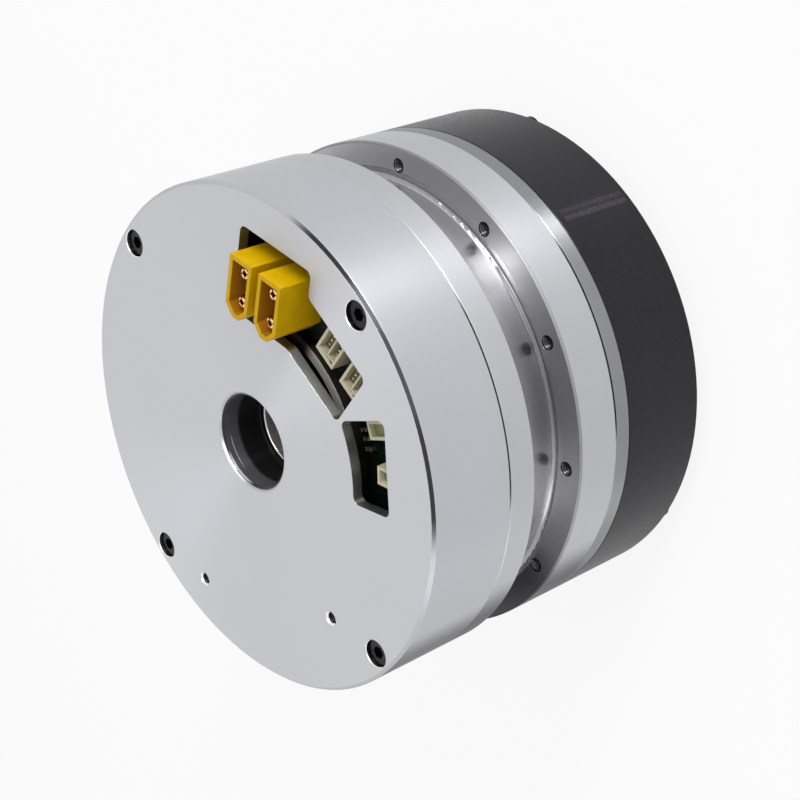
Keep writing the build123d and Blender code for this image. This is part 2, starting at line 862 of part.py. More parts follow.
# Stator: laminated core with shoed teeth, and one coil round each tooth
with BuildPart() as stator_core:
    with BuildSketch(Plane.XY.offset(z_stator)):
        Circle(stator_outer - press_gap)
        Circle(stator_outer - yoke_thick, mode=Mode.SUBTRACT)
        with PolarLocations(stator_bore_radius + tooth_length / 2 + 0.5, slot_count):
            Rectangle(tooth_length, tooth_width)
    extrude(amount=stack_length)
    with BuildSketch(Plane.XY.offset(z_stator)):
        for k in range(slot_count):
            middle_angle = 2 * pi * k / slot_count
            half = radians(180 / slot_count * shoe_fill)
            shoe_outer = stator_bore_radius + tooth_tip_thick
            with BuildLine():
                ThreePointArc(
                    polar_point(stator_bore_radius, middle_angle - half),
                    polar_point(stator_bore_radius, middle_angle),
                    polar_point(stator_bore_radius, middle_angle + half),
                )
                Line(
                    polar_point(stator_bore_radius, middle_angle + half),
                    polar_point(shoe_outer, middle_angle + half * 0.8),
                )
                ThreePointArc(
                    polar_point(shoe_outer, middle_angle + half * 0.8),
                    polar_point(shoe_outer, middle_angle),
                    polar_point(shoe_outer, middle_angle - half * 0.8),
                )
                Line(
                    polar_point(shoe_outer, middle_angle - half * 0.8),
                    polar_point(stator_bore_radius, middle_angle - half),
                )
            make_face()
    extrude(amount=stack_length)
keep(stator_core.part, "stator_core")

stator_level = (z_stator + z_stator_top) / 2
with BuildPart() as stator_windings:
    with Locations(Plane.XY.offset(stator_level).location):
        with PolarLocations(coil_middle, slot_count):
            Box(coil_outer - coil_inner, tooth_width + coil_wall * 2, stack_length + coil_wall * 2)
    with Locations(Plane.XY.offset(stator_level).location):
        with PolarLocations(coil_middle, slot_count):
            Box(
                coil_outer - coil_inner,
                tooth_width + coil_gap * 2,
                stack_length + coil_gap * 2,
                mode=Mode.SUBTRACT,
            )
keep(stator_windings.part, "stator_windings")

# Rear bracket: carries the rear bearing, the encoder posts and the wall round the encoder
bracket_hole_points = circle_points(bracket_screw_circle, bracket_screw_angles)
standoff_points = circle_points(standoff_circle, standoff_angles)
phase_points = circle_points(coil_middle, phase_angles)
encoder_post_points = circle_points(encoder_post_circle, encoder_post_angles)
with BuildPart() as rear_bracket:
    with BuildSketch(Plane.XY.offset(z_bracket)):
        Circle(bracket_radius - 0.05)
    extrude(amount=bracket_thick)
    with BuildSketch(Plane.XY.offset(z_rear_bearing)):
        Circle(bearing_outer + bearing_boss_wall)
    extrude(amount=bearing_width + bearing_lip)
    with BuildSketch(Plane.XY.offset(z_seam)):
        Circle(shroud_outer)
        Circle(shroud_inner_radius, mode=Mode.SUBTRACT)
    extrude(amount=z_rear - shroud_drop - z_seam)
    with BuildSketch(Plane.XY.offset(z_seam)):
        with Locations(*encoder_post_points):
            Circle(encoder_post_radius)
    extrude(amount=z_encoder_board - z_seam)
    with BuildSketch(Plane.XY.offset(z_rear_bearing)):
        Circle(bearing_outer)
    extrude(amount=bearing_width, mode=Mode.SUBTRACT)
    with BuildSketch(Plane.XY.offset(z_rear_bearing_top)):
        Circle(web_bore)
    extrude(amount=bearing_lip, mode=Mode.SUBTRACT)
    with BuildSketch(Plane.XY.offset(z_bracket)):
        with Locations(*bracket_hole_points):
            Circle(m2_clear)
        with Locations(*phase_points):
            Circle(phase_post_radius + phase_hole_gap)
        with Locations(*standoff_points):
            Circle(m2_core)
    extrude(amount=bracket_thick, mode=Mode.SUBTRACT)
    with BuildSketch(Plane.XY.offset(z_encoder_board)):
        with Locations(*encoder_post_points):
            Circle(m2_core)
    extrude(amount=-m2_thread - screw_tip_gap, mode=Mode.SUBTRACT)
keep(rear_bracket.part, "rear_bracket")

bracket_screws = cap_screws(
    bracket_hole_points,
    z_seam,
    1,
    m2_head,
    m2_head_height,
    m2_shank,
    z_bracket,
    m2_core,
    z_bracket - m2_thread,
)
keep(bracket_screws, "bracket_screws")

# Phase terminals: copper posts from three coils up to the driver board
with BuildPart() as phase_terminals:
    with BuildSketch(Plane.XY.offset(z_coil_high)):
        with Locations(*phase_points):
            Circle(phase_post_radius)
    extrude(amount=z_board_under - z_coil_high)
keep(phase_terminals.part, "phase_terminals")

# Encoder board over the two magnet rings, with a sensor for each
with BuildPart() as encoder_board:
    with BuildSketch(Plane.XY.offset(z_encoder_board)):
        Circle(shroud_inner_radius - encoder_board_gap)
        Circle(sleeve_bore_radius + sleeve_wall + encoder_board_gap, mode=Mode.SUBTRACT)
        with Locations(*encoder_post_points):
            Circle(m2_clear, mode=Mode.SUBTRACT)
    extrude(amount=encoder_board_thick)
keep(encoder_board.part, "encoder_board")

sensor_places = (
    polar_point(shaft_outer + ring_magnet_wall / 2, radians(30)),
    polar_point(output_magnet_outer + sensor_size / 2 - 0.6, radians(210)),
)
with BuildPart() as encoder_sensors:
    with BuildSketch(Plane.XY.offset(z_sensor)):
        with Locations(*sensor_places):
            Rectangle(sensor_size, sensor_size, rotation=30)
    extrude(amount=z_encoder_board - z_sensor)
keep(encoder_sensors.part, "encoder_sensors")

encoder_screws = cap_screws(
    encoder_post_points,
    z_encoder_board + encoder_board_thick,
    1,
    m2_head,
    m2_head_height,
    m2_shank,
    z_encoder_board,
    m2_core,
    z_encoder_board - m2_thread,
)
keep(encoder_screws, "encoder_screws")

# Driver board on four standoffs, notched round the cover bosses
with BuildPart() as board_standoffs:
    with BuildSketch(Plane.XY.offset(z_seam)):
        with Locations(*standoff_points):
            RegularPolygon(standoff_radius, 6)
    extrude(amount=z_board_under - z_seam)
    with BuildSketch(Plane.XY.offset(z_seam)):
        with Locations(*standoff_points):
            Circle(m2_core)
    extrude(amount=screw_tip_gap - bracket_thick)
    with BuildSketch(Plane.XY.offset(z_board_under)):
        with Locations(*standoff_points):
            Circle(m2_core)
    extrude(amount=-m2_thread - screw_tip_gap, mode=Mode.SUBTRACT)
keep(board_standoffs.part, "board_standoffs")

cover_screw_points = circle_points(cover_screw_circle, cover_screw_angles)
with BuildPart() as driver_board:
    with BuildSketch(Plane.XY.offset(z_board_under)):
        Circle(board_outer)
        Circle(board_inner, mode=Mode.SUBTRACT)
        with Locations(*cover_screw_points):
            Circle(cover_boss_radius + board_notch_gap, mode=Mode.SUBTRACT)
        with Locations(*standoff_points):
            Circle(m2_clear, mode=Mode.SUBTRACT)
    extrude(amount=board_thick)
keep(driver_board.part, "driver_board")

board_screws = cap_screws(
    standoff_points,
    z_board,
    1,
    m2_head,
    m2_head_height,
    m2_shank,
    z_board_under,
    m2_core,
    z_board_under - m2_thread,
)
keep(board_screws, "board_screws")

with BuildPart() as power_transistors:
    for angle in transistor_angles:
        with BuildSketch(Plane.XY.offset(z_board_under - transistor_height)):
            with Locations(polar_point(board_inner + transistor_size / 2 + 1.8, radians(angle))):
                Rectangle(transistor_size, transistor_size, rotation=angle)
    extrude(amount=transistor_height)
keep(power_transistors.part, "power_transistors")

with BuildPart() as capacitors:
    with BuildSketch(Plane.XY.offset(z_board_under - capacitor_height)):
        with Locations(*circle_points(coil_middle, capacitor_angles)):
            Circle(capacitor_radius)
    extrude(amount=capacitor_height)
keep(capacitors.part, "capacitors")

# Power connectors: two tall shells, keyed by two cut corners, with two pins each
power_alongs = (power_along - power_pitch / 2, power_along + power_pitch / 2)
power_pin_points = [
    face_point(power_angle, power_out + side * power_pin_pitch / 2, along)
    for along in power_alongs
    for side in (-1, 1)
]


def power_outline(along, inset):
    half_length = power_length / 2 - inset
    half_width = power_width / 2 - inset
    cut = power_corner - inset * (2 - sqrt(2))
    corners = [
        (-half_length, cut - half_width),
        (cut - half_length, -half_width),
        (half_length, -half_width),
        (half_length, half_width),
        (cut - half_length, half_width),
        (-half_length, half_width - cut),
    ]
    return [face_point(power_angle, power_out + out, along + side) for out, side in corners]


with BuildPart() as power_connectors:
    for along in power_alongs:
        with BuildSketch(Plane.XY.offset(z_board)):
            Polygon(*power_outline(along, 0), align=None)
        extrude(amount=z_power_top - z_board)
        with BuildSketch(Plane.XY.offset(z_power_top)):
            Polygon(*power_outline(along, power_wall), align=None)
        extrude(amount=-power_socket_depth, mode=Mode.SUBTRACT)
    with BuildSketch(Plane.XY.offset(z_board)):
        with Locations(*power_pin_points):
            Circle(power_pin_radius)
    extrude(amount=z_power_top - z_board, mode=Mode.SUBTRACT)
keep(power_connectors.part, "power_connectors")

with BuildPart() as power_pins:
    with BuildSketch(Plane.XY.offset(z_board)):
        with Locations(*power_pin_points):
            Circle(power_pin_radius)
    extrude(amount=z_power_top - power_pin_recess - z_board)
keep(power_pins.part, "power_pins")


# Small board sockets: open boxes, two in the large window and two in the small one
def open_sockets(name, places, length, width):
    with BuildPart() as sockets:
        for angle, out, along in places:
            spot = Location((*face_point(angle, out, along), z_board), (0, 0, angle))
            with BuildSketch(Plane(spot)):
                Rectangle(length, width)
            extrude(amount=socket_height)
            with BuildSketch(Plane(spot).offset(socket_floor)):
                Rectangle(length - socket_wall * 2, width - socket_wall * 2)
            extrude(amount=socket_height, mode=Mode.SUBTRACT)
    keep(sockets.part, name)


signal_places = [
    (signal_angle, signal_out, signal_first_along + signal_pitch * k) for k in range(2)
]
bus_sockets = [(angle, bus_out, along) for angle, along in bus_places]
open_sockets("signal_sockets", signal_places, signal_length, signal_width)
open_sockets("encoder_sockets", bus_sockets, bus_length, bus_width)

# Rear cover: cup with screw bosses, two windows, the bore and two accessory holes
power_window = [
    face_point(power_angle, power_out + out, power_along + side * power_window_width / 2)
    for out, side in (
        (-power_window_inner_margin, -1),
        (power_window_outer_margin, -1),
        (power_window_outer_margin, 1),
        (-power_window_inner_margin, 1),
    )
]
signal_window = [
    face_point(signal_angle, out, along)
    for out, along in (
        (signal_window_inner, -signal_window_root),
        (signal_window_outer, -signal_window_root),
        (signal_window_outer, signal_window_end),
        (signal_window_inner, signal_window_end),
    )
]
slope = tan(radians(bus_window_high_angle))
bus_corner_x = sqrt(bus_window_inner**2 - bus_window_low**2)
bus_high_x = (
    -slope * bus_window_high
    + sqrt(bus_window_inner**2 * (1 + slope**2) - bus_window_high**2)
) / (1 + slope**2)
bus_high_y = slope * bus_high_x + bus_window_high
bus_mid = polar_point(
    bus_window_inner,
    (atan2(bus_window_low, bus_corner_x) + atan2(bus_high_y, bus_high_x)) / 2,
)
with BuildPart() as rear_cover:
    with BuildSketch(Plane.XZ):
        with BuildLine():
            Polyline(
                (sleeve_bore_radius + sleeve_wall, z_sleeve_collar_top),
                (cover_hub_radius, z_sleeve_collar_top),
                (cover_hub_radius, z_plate),
                (cover_inner, z_plate),
                (cover_inner, z_seam),
                (body_radius - seam_break, z_seam),
                (body_radius, z_seam + seam_break),
                (body_radius, z_rear - face_chamfer),
                (body_radius - face_chamfer, z_rear),
                (sleeve_bore_radius + sleeve_wall + sleeve_chamfer, z_rear),
                (sleeve_bore_radius + sleeve_wall, z_rear - sleeve_chamfer),
                close=True,
            )
        make_face()
    revolve(axis=Axis.Z)
    with BuildSketch(Plane.XY.offset(z_seam)):
        with Locations(*cover_screw_points):
            Circle(cover_boss_radius)
        Circle(cover_inner + 1, mode=Mode.INTERSECT)
    extrude(amount=z_plate - z_seam)
    with BuildSketch(Plane.XY.offset(z_plate)):
        with Locations(*accessory_holes):
            Circle(accessory_boss_radius)
    extrude(amount=-accessory_boss_height)
    with BuildSketch(Plane.XY.offset(z_rear)):
        with Locations(*accessory_holes):
            Circle(accessory_tap_radius)
    extrude(amount=-cover_plate - accessory_boss_height, mode=Mode.SUBTRACT)
    with BuildSketch(Plane.XY.offset(z_rear)):
        with Locations(*cover_screw_points):
            Circle(m25_head + head_gap)
    extrude(amount=z_cover_seat - z_rear, mode=Mode.SUBTRACT)
    with BuildSketch(Plane.XY.offset(z_rear)):
        with Locations(*cover_screw_points):
            Circle(m25_clear)
    extrude(amount=z_seam - z_rear, mode=Mode.SUBTRACT)
    with BuildSketch(Plane.XY.offset(z_rear)) as window_one:
        Polygon(*power_window, align=None)
        Polygon(*signal_window, align=None)
        fillet(window_one.vertices(), window_fillet)
    extrude(amount=-cover_plate, mode=Mode.SUBTRACT)
    with BuildSketch(Plane.XY.offset(z_rear)) as window_two:
        with BuildLine():
            outer_high = (bus_window_outer, slope * bus_window_outer + bus_window_high)
            outer_low = (bus_window_outer, bus_window_low)
            inner_low = (bus_corner_x, bus_window_low)
            inner_high = (bus_high_x, bus_high_y)
            Line(inner_low, outer_low)
            Line(outer_low, outer_high)
            Line(outer_high, inner_high)
            ThreePointArc(inner_high, bus_mid, inner_low)
        make_face()
        fillet(window_two.vertices(), window_fillet)
    extrude(amount=-cover_plate, mode=Mode.SUBTRACT)
keep(rear_cover.part, "rear_cover")

# Bore sleeve: black lining of the cover bore, held up by a collar under the cover
keep(
    turned(
        "bore_sleeve",
        [
            (sleeve_bore_radius, z_sleeve_end),
            (sleeve_bore_radius + sleeve_wall, z_sleeve_end),
            (sleeve_bore_radius + sleeve_wall, z_sleeve_collar_top - sleeve_collar_thick),
            (sleeve_collar_radius, z_sleeve_collar_top - sleeve_collar_thick),
            (sleeve_collar_radius, z_sleeve_collar_top),
            (sleeve_bore_radius + sleeve_wall, z_sleeve_collar_top),
            (sleeve_bore_radius + sleeve_wall, z_rear - sleeve_chamfer),
            (sleeve_bore_radius + sleeve_lip, z_rear - sleeve_chamfer),
            (sleeve_bore_radius, z_rear - sleeve_chamfer - sleeve_lip),
        ],
    ),
    "bore_sleeve",
)

cover_screws = cap_screws(
    cover_screw_points,
    z_cover_seat,
    1,
    m25_head,
    m25_head_height,
    m25_shank,
    z_seam,
    m25_core,
    z_seam - cover_thread_length,
)
keep(cover_screws, "cover_screws")
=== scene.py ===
import math
import random

import bpy
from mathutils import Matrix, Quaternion, Vector


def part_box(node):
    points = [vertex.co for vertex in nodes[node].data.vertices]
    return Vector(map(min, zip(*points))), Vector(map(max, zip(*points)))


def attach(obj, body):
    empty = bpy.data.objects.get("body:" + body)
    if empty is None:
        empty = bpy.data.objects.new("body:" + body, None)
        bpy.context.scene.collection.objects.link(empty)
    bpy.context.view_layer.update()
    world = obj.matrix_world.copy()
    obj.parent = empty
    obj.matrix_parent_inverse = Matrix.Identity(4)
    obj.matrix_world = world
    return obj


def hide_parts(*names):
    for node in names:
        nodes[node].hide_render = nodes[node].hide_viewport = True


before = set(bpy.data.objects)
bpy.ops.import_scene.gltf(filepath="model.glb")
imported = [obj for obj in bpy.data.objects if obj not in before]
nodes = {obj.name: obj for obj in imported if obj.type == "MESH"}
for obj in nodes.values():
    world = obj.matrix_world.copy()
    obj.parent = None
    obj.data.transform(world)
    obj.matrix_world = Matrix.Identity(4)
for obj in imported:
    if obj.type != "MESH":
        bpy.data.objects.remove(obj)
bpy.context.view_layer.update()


# View and light. The camera looks down on the rear face and is rolled, so that the axis runs from lower
# left to upper right. A pale floor, a white surround and five large soft lamps make a plain studio.
# Angles are in degrees, turning from +X and rising from the floor; lengths are in metres.
aim = Vector((0.0011, -0.0020, 0.0326))
camera_distance = 0.305
camera_azimuth = 28.33
camera_elevation = 37.78
camera_roll = math.radians(111.15)
camera_lens = 80.4
floor_size = 4.0
floor_level = -0.0001
world_light = 0.42
floor_glow = 0.88
floor_glow_in_gloss = 0.35


def direction(azimuth, elevation):
    """The way from the aim to a place in the studio."""
    azimuth, elevation = math.radians(azimuth), math.radians(elevation)
    flat = math.cos(elevation)
    return Vector((flat * math.cos(azimuth), flat * math.sin(azimuth), math.sin(elevation)))


camera_data = bpy.data.cameras.new("view")
camera_data.lens = camera_lens
camera_data.clip_start = 0.01
camera = bpy.data.objects.new("view", camera_data)
bpy.context.collection.objects.link(camera)
camera.location = aim + direction(camera_azimuth, camera_elevation) * camera_distance
level = (aim - camera.location).to_track_quat("-Z", "Y")
camera.rotation_mode = "QUATERNION"
camera.rotation_quaternion = level @ Quaternion((0, 0, 1), -camera_roll)
bpy.context.scene.camera = camera
bpy.context.scene.view_settings.view_transform = "Standard"


def fill(tree, socket, value):
    """Gives a node's input a plain value, or a link when the value is another node's socket."""
    if isinstance(value, bpy.types.NodeSocket):
        tree.links.new(value, socket)
    else:
        socket.default_value = value


def put(tree, kind, settings=None, **inputs):
    """Adds a node with its settings and fills its inputs by name."""
    made = tree.nodes.new(kind)
    for key, value in (settings or {}).items():
        setattr(made, key, value)
    for key, value in inputs.items():
        fill(tree, made.inputs[key.replace("_", " ")], value)
    return made


def maths(tree, operation, *values):
    """Adds a Math node, fills its inputs in order and returns its result."""
    made = tree.nodes.new("ShaderNodeMath")
    made.operation = operation
    for socket, value in zip(made.inputs, values):
        fill(tree, socket, value)
    return made.outputs[0]


def seen_directly(tree, from_camera=1.0, in_gloss=1.0):
    """How far rays from the camera, and rays in gloss and through glass, show the surround's own white."""
    path = put(tree, "ShaderNodeLightPath")
    either = maths(tree, "MAXIMUM", path.outputs["Is Glossy Ray"], path.outputs["Is Transmission Ray"])
    gloss = maths(tree, "MULTIPLY", either, in_gloss)
    return maths(tree, "MAXIMUM", maths(tree, "MULTIPLY", path.outputs["Is Camera Ray"], from_camera), gloss)


world = bpy.data.worlds.new("studio")
bpy.context.scene.world = world
world.use_nodes = True
world_tree = world.node_tree
world_tree.nodes.clear()
surround = put(world_tree, "ShaderNodeBackground", Color=(0.97, 0.98, 1.0, 1), Strength=world_light)
backdrop = put(world_tree, "ShaderNodeBackground", Color=(1, 1, 1, 1), Strength=1.0)
world_mix = put(world_tree, "ShaderNodeMixShader", Fac=seen_directly(world_tree))
fill(world_tree, world_mix.inputs[1], surround.outputs[0])
fill(world_tree, world_mix.inputs[2], backdrop.outputs[0])
put(world_tree, "ShaderNodeOutputWorld", Surface=world_mix.outputs[0])

floor_paint = bpy.data.materials.new("pale_floor")
floor_paint.use_nodes = True
floor_tree = floor_paint.node_tree
floor_tree.nodes.clear()
matt = put(floor_tree, "ShaderNodeBsdfDiffuse", Color=(0.93, 0.93, 0.93, 1))
glow = put(floor_tree, "ShaderNodeEmission", Color=(1, 1, 1, 1), Strength=1.0)
floor_share = seen_directly(floor_tree, floor_glow, floor_glow_in_gloss)
floor_mix = put(floor_tree, "ShaderNodeMixShader", Fac=floor_share)
fill(floor_tree, floor_mix.inputs[1], matt.outputs[0])
fill(floor_tree, floor_mix.inputs[2], glow.outputs[0])
put(floor_tree, "ShaderNodeOutputMaterial", Surface=floor_mix.outputs[0])


def mesh_piece(name, points, faces, paint, smooth=True):
    """Makes an object of one finish from points and faces. Where smooth, only sharp corners stay edges."""
    mesh = bpy.data.meshes.new(name)
    mesh.from_pydata(points, [], faces)
    mesh.materials.append(paint)
    if smooth:
        mesh.polygons.foreach_set("use_smooth", [True] * len(faces))
        mesh.set_sharp_from_angle(angle=math.radians(28))
    mesh.update()
    piece = bpy.data.objects.new(name, mesh)
    bpy.context.collection.objects.link(piece)
    return piece


half = floor_size / 2
floor_corners = [(x * half, y * half, floor_level) for x, y in ((-1, -1), (1, -1), (1, 1), (-1, 1))]
floor = mesh_piece("floor", floor_corners, [(0, 1, 2, 3)], floor_paint, smooth=False)


def soft_lamp(name, azimuth, elevation, distance, width, height, watts):
    """A soft box of that width and height, turned towards the object."""
    data = bpy.data.lights.new(name, "AREA")
    data.shape = "RECTANGLE"
    data.size = width
    data.size_y = height
    data.energy = watts
    lamp = bpy.data.objects.new(name, data)
    bpy.context.collection.objects.link(lamp)
    lamp.location = aim + direction(azimuth, elevation) * distance
    lamp.rotation_mode = "QUATERNION"
    lamp.rotation_quaternion = (aim - lamp.location).to_track_quat("-Z", "Y")


soft_lamp("key_lamp", azimuth=66, elevation=12, distance=0.9, width=0.14, height=0.7, watts=4.4)
soft_lamp("side_lamp", azimuth=-52, elevation=16, distance=1.0, width=0.30, height=0.6, watts=0.9)
soft_lamp("front_lamp", azimuth=35, elevation=62, distance=1.1, width=0.6, height=0.6, watts=1.6)
soft_lamp("back_lamp", azimuth=215, elevation=50, distance=1.2, width=0.8, height=0.8, watts=0.6)
soft_lamp("high_lamp", azimuth=67, elevation=38, distance=0.9, width=0.24, height=0.5, watts=1.8)


# Gearbox shell: one black anodised turning that holds the output bearing and the ring gear. It is
# semi-gloss and slightly blue, with faint smudges from handling, and two thin painted highlights run up its
# side. Its finish shares three effects with the other metals: fine grain, tool marks and places that are
# refinished or carry painted light and shade.
number, shade_of = "NodeSocketFloat", "NodeSocketColor"


def effect(name, inputs, outputs):
    """Starts a node group with named inputs and outputs, and returns it with the sockets inside it."""
    tree = bpy.data.node_groups.new(name, "ShaderNodeTree")
    for label, kind, start in inputs:
        tree.interface.new_socket(name=label, in_out="INPUT", socket_type=kind).default_value = start
    for label, kind in outputs:
        tree.interface.new_socket(name=label, in_out="OUTPUT", socket_type=kind)
    return tree, tree.nodes.new("NodeGroupInput").outputs, tree.nodes.new("NodeGroupOutput").inputs


def colour_mix(tree, share, first, second, kind="MIX"):
    """Blends the first colour with the second by a share from 0 to 1."""
    made = put(tree, "ShaderNodeMix", {"data_type": "RGBA", "blend_type": kind}, Factor=share)
    fill(tree, made.inputs[6], first)
    fill(tree, made.inputs[7], second)
    return made.outputs[2]


grain, grain_in, grain_out = effect(
    "fine_grain",
    [("Size", number, 2500.0), ("Clouds", number, 45.0), ("Colour", shade_of, (1, 1, 1, 1)),
     ("Shade", shade_of, (0, 0, 0, 1)), ("Roughness", number, 0.4), ("Spread", number, 0.1)],
    [("Colour", shade_of), ("Roughness", number), ("Height", number)],
)
place = put(grain, "ShaderNodeTexCoord").outputs["Object"]
specks = put(grain, "ShaderNodeTexNoise", Vector=place, Scale=grain_in["Size"], Detail=3.0).outputs["Fac"]
clouds = put(grain, "ShaderNodeTexNoise", Vector=place, Scale=grain_in["Clouds"], Detail=4.0).outputs["Fac"]
both = maths(grain, "MULTIPLY_ADD", clouds, 0.45, maths(grain, "MULTIPLY", specks, 0.55))
mottle = put(grain, "ShaderNodeMapRange", Value=both, From_Min=0.3, From_Max=0.7).outputs[0]
swing = maths(grain, "MULTIPLY", maths(grain, "SUBTRACT", mottle, 0.5), grain_in["Spread"])
fill(grain, grain_out["Colour"], colour_mix(grain, mottle, grain_in["Shade"], grain_in["Colour"]))
fill(grain, grain_out["Roughness"], maths(grain, "ADD", swing, grain_in["Roughness"]))
fill(grain, grain_out["Height"], specks)


def about_axis(tree):
    """A point's distance from the axis, and its x, y and z."""
    place = put(tree, "ShaderNodeTexCoord").outputs["Object"]
    x, y, z = put(tree, "ShaderNodeSeparateXYZ", Vector=place).outputs
    flat = put(tree, "ShaderNodeCombineXYZ", X=x, Y=y).outputs[0]
    return put(tree, "ShaderNodeVectorMath", {"operation": "LENGTH"}, Vector=flat).outputs["Value"], x, y, z


marks, marks_in, marks_out = effect(
    "turning_marks",
    [("Spacing", number, 9000.0), ("Height In", number, 0.0), ("Depth", number, 0.5)],
    [("Height", number)],
)
reach, _, _, z = about_axis(marks)
lines = put(marks, "ShaderNodeTexNoise", {"noise_dimensions": "1D"}, W=maths(marks, "ADD", reach, z),
            Scale=marks_in["Spacing"], Detail=2.0).outputs["Fac"]
fill(marks, marks_out["Height"],
     maths(marks, "MULTIPLY_ADD", lines, marks_in["Depth"], marks_in["Height In"]))

# A refinished or lit place is a ring-shaped space about the axis, where the finish changes or where painted
# light and shade lie. Full and Gone are cosines of the angles from its middle; where they lie below -1, as at
# first, the place goes all the way round.
refinished_or_lit, place_in, place_out = effect(
    "refinished_or_lit_place",
    [("Colour", shade_of, (1, 1, 1, 1)), ("Roughness", number, 0.4), ("Inner", number, 0.0),
     ("Outer", number, 1.0), ("Low", number, 0.0), ("High", number, 1.0), ("Middle X", number, 1.0),
     ("Middle Y", number, 0.0), ("Full", number, -2.0), ("Gone", number, -3.0),
     ("Tint", shade_of, (1, 1, 1, 1)), ("Rougher", number, 0.0)],
    [("Colour", shade_of), ("Roughness", number)],
)
reach, x, y, z = about_axis(refinished_or_lit)
outward = maths(refinished_or_lit, "ADD", maths(refinished_or_lit, "MULTIPLY", x, place_in["Middle X"]),
                maths(refinished_or_lit, "MULTIPLY", y, place_in["Middle Y"]))
turn = maths(refinished_or_lit, "DIVIDE", outward, reach)
fade = put(refinished_or_lit, "ShaderNodeMapRange", {"interpolation_type": "SMOOTHSTEP"}, Value=turn,
           From_Min=place_in["Gone"], From_Max=place_in["Full"])
share = fade.outputs[0]
for value, start, end in ((reach, "Inner", "Outer"), (z, "Low", "High")):
    share = maths(refinished_or_lit, "MULTIPLY", share, maths(refinished_or_lit, "GREATER_THAN", value, place_in[start]))
    share = maths(refinished_or_lit, "MULTIPLY", share, maths(refinished_or_lit, "LESS_THAN", value, place_in[end]))
fill(refinished_or_lit, place_out["Colour"],
     colour_mix(refinished_or_lit, share, place_in["Colour"], place_in["Tint"], "MULTIPLY"))
fill(refinished_or_lit, place_out["Roughness"],
     maths(refinished_or_lit, "MULTIPLY_ADD", share, place_in["Rougher"], place_in["Roughness"]))


def finish(name, colour, shade, roughness, spread=0.08, size=2500.0, clouds=45.0, relief=0.000004, turned=0.0,
           metallic=1.0, gloss=0.5, edge=0.00012, anisotropy=0.0):
    """A finish that wanders from colour to shade in fine grain, with tool marks where turned is above 0."""
    paint = bpy.data.materials.new(name)
    paint.use_nodes = True
    tree = paint.node_tree
    shader = tree.nodes["Principled BSDF"]
    look = put(tree, "ShaderNodeGroup", {"node_tree": grain}, Size=size, Clouds=clouds, Colour=(*colour, 1),
               Shade=(*shade, 1), Roughness=roughness, Spread=spread)
    height = look.outputs["Height"]
    if turned:
        tooling = put(tree, "ShaderNodeGroup", {"node_tree": marks}, Height_In=height, Depth=turned)
        height = tooling.outputs["Height"]
    soft_edge = put(tree, "ShaderNodeBevel", {"samples": 4}, Radius=edge)
    bump = put(tree, "ShaderNodeBump", Strength=1.0, Distance=relief, Height=height,
               Normal=soft_edge.outputs[0])
    fill(tree, shader.inputs["Base Color"], look.outputs["Colour"])
    fill(tree, shader.inputs["Roughness"], look.outputs["Roughness"])
    fill(tree, shader.inputs["Normal"], bump.outputs[0])
    shader.inputs["Metallic"].default_value = metallic
    shader.inputs["Specular IOR Level"].default_value = gloss
    if anisotropy:
        shader.inputs["Anisotropic"].default_value = anisotropy
        shader.inputs["Anisotropic Rotation"].default_value = 0.25
        tangent = put(tree, "ShaderNodeTangent", {"direction_type": "RADIAL", "axis": "Z"})
        fill(tree, shader.inputs["Tangent"], tangent.outputs[0])
    return paint


def refinish_or_paint_light(paint, radii, heights, tint, rougher=0.0, side=None):
    """Tints one ring-shaped place of a finish, by one number or by three, and changes its roughness there.
    The place is refinished, or holds painted light and shade.
    A side is (middle, full, gone) in degrees: the place is whole up to the angle full on both sides of the
    middle and has faded away at the angle gone."""
    tree = paint.node_tree
    shader = tree.nodes["Principled BSDF"]
    tint = tint if isinstance(tint, tuple) else (tint, tint, tint)
    made = put(tree, "ShaderNodeGroup", {"node_tree": refinished_or_lit}, Inner=radii[0], Outer=radii[1],
               Low=heights[0], High=heights[1], Tint=(*tint, 1), Rougher=rougher)
    if side:
        middle, full, gone = (math.radians(angle) for angle in side)
        for label, value in (("Middle X", math.cos(middle)), ("Middle Y", math.sin(middle)),
                             ("Full", math.cos(full)), ("Gone", math.cos(gone))):
            made.inputs[label].default_value = value
    for label, entry in (("Colour", "Base Color"), ("Roughness", "Roughness")):
        fill(tree, made.inputs[label], shader.inputs[entry].links[0].from_socket)
        fill(tree, shader.inputs[entry], made.outputs[label])


def dress(node, paint):
    """Gives a CAD node its finish."""
    for slot in nodes[node].material_slots:
        slot.material = paint


skin = (0.0420, 0.05)
beyond = 0.07
hair = 0.00005
painted_streak_ends = (0.0052, 0.0197)
black_shell = finish("black_anodised_shell", (0.013, 0.0115, 0.016), (0.007, 0.006, 0.009), 0.22, spread=0.14,
                     size=1500.0, relief=0.0000001, turned=0.6, metallic=0.0, gloss=0.26, anisotropy=0.9)
# Two thin painted highlights: upright streaks of light at fixed angles round the axis.
for angle, strength in ((49.0, 3.4), (50.8, 2.6)):
    refinish_or_paint_light(black_shell, skin, painted_streak_ends, strength, 0.05, side=(angle, 0.2, 0.9))
dress("gearbox_housing", black_shell)


# Bearings: the crossed rollers that carry the output, and two thin ball bearings for the rotor. Rings of
# hardened steel are ground bright and pressed into their seats; rollers and balls are lapped brighter.
ground_steel = finish("ground_steel", (0.62, 0.62, 0.63), (0.50, 0.50, 0.51), 0.22, turned=0.5)
lapped_steel = finish("lapped_steel", (0.74, 0.74, 0.75), (0.66, 0.66, 0.67), 0.12)
for node in ("output_bearing_outer", "output_bearing_inner", "front_bearing_inner", "front_bearing_outer",
             "rear_bearing_inner", "rear_bearing_outer"):
    dress(node, ground_steel)
for node in ("output_rollers", "front_bearing_balls", "rear_bearing_balls"):
    dress(node, lapped_steel)


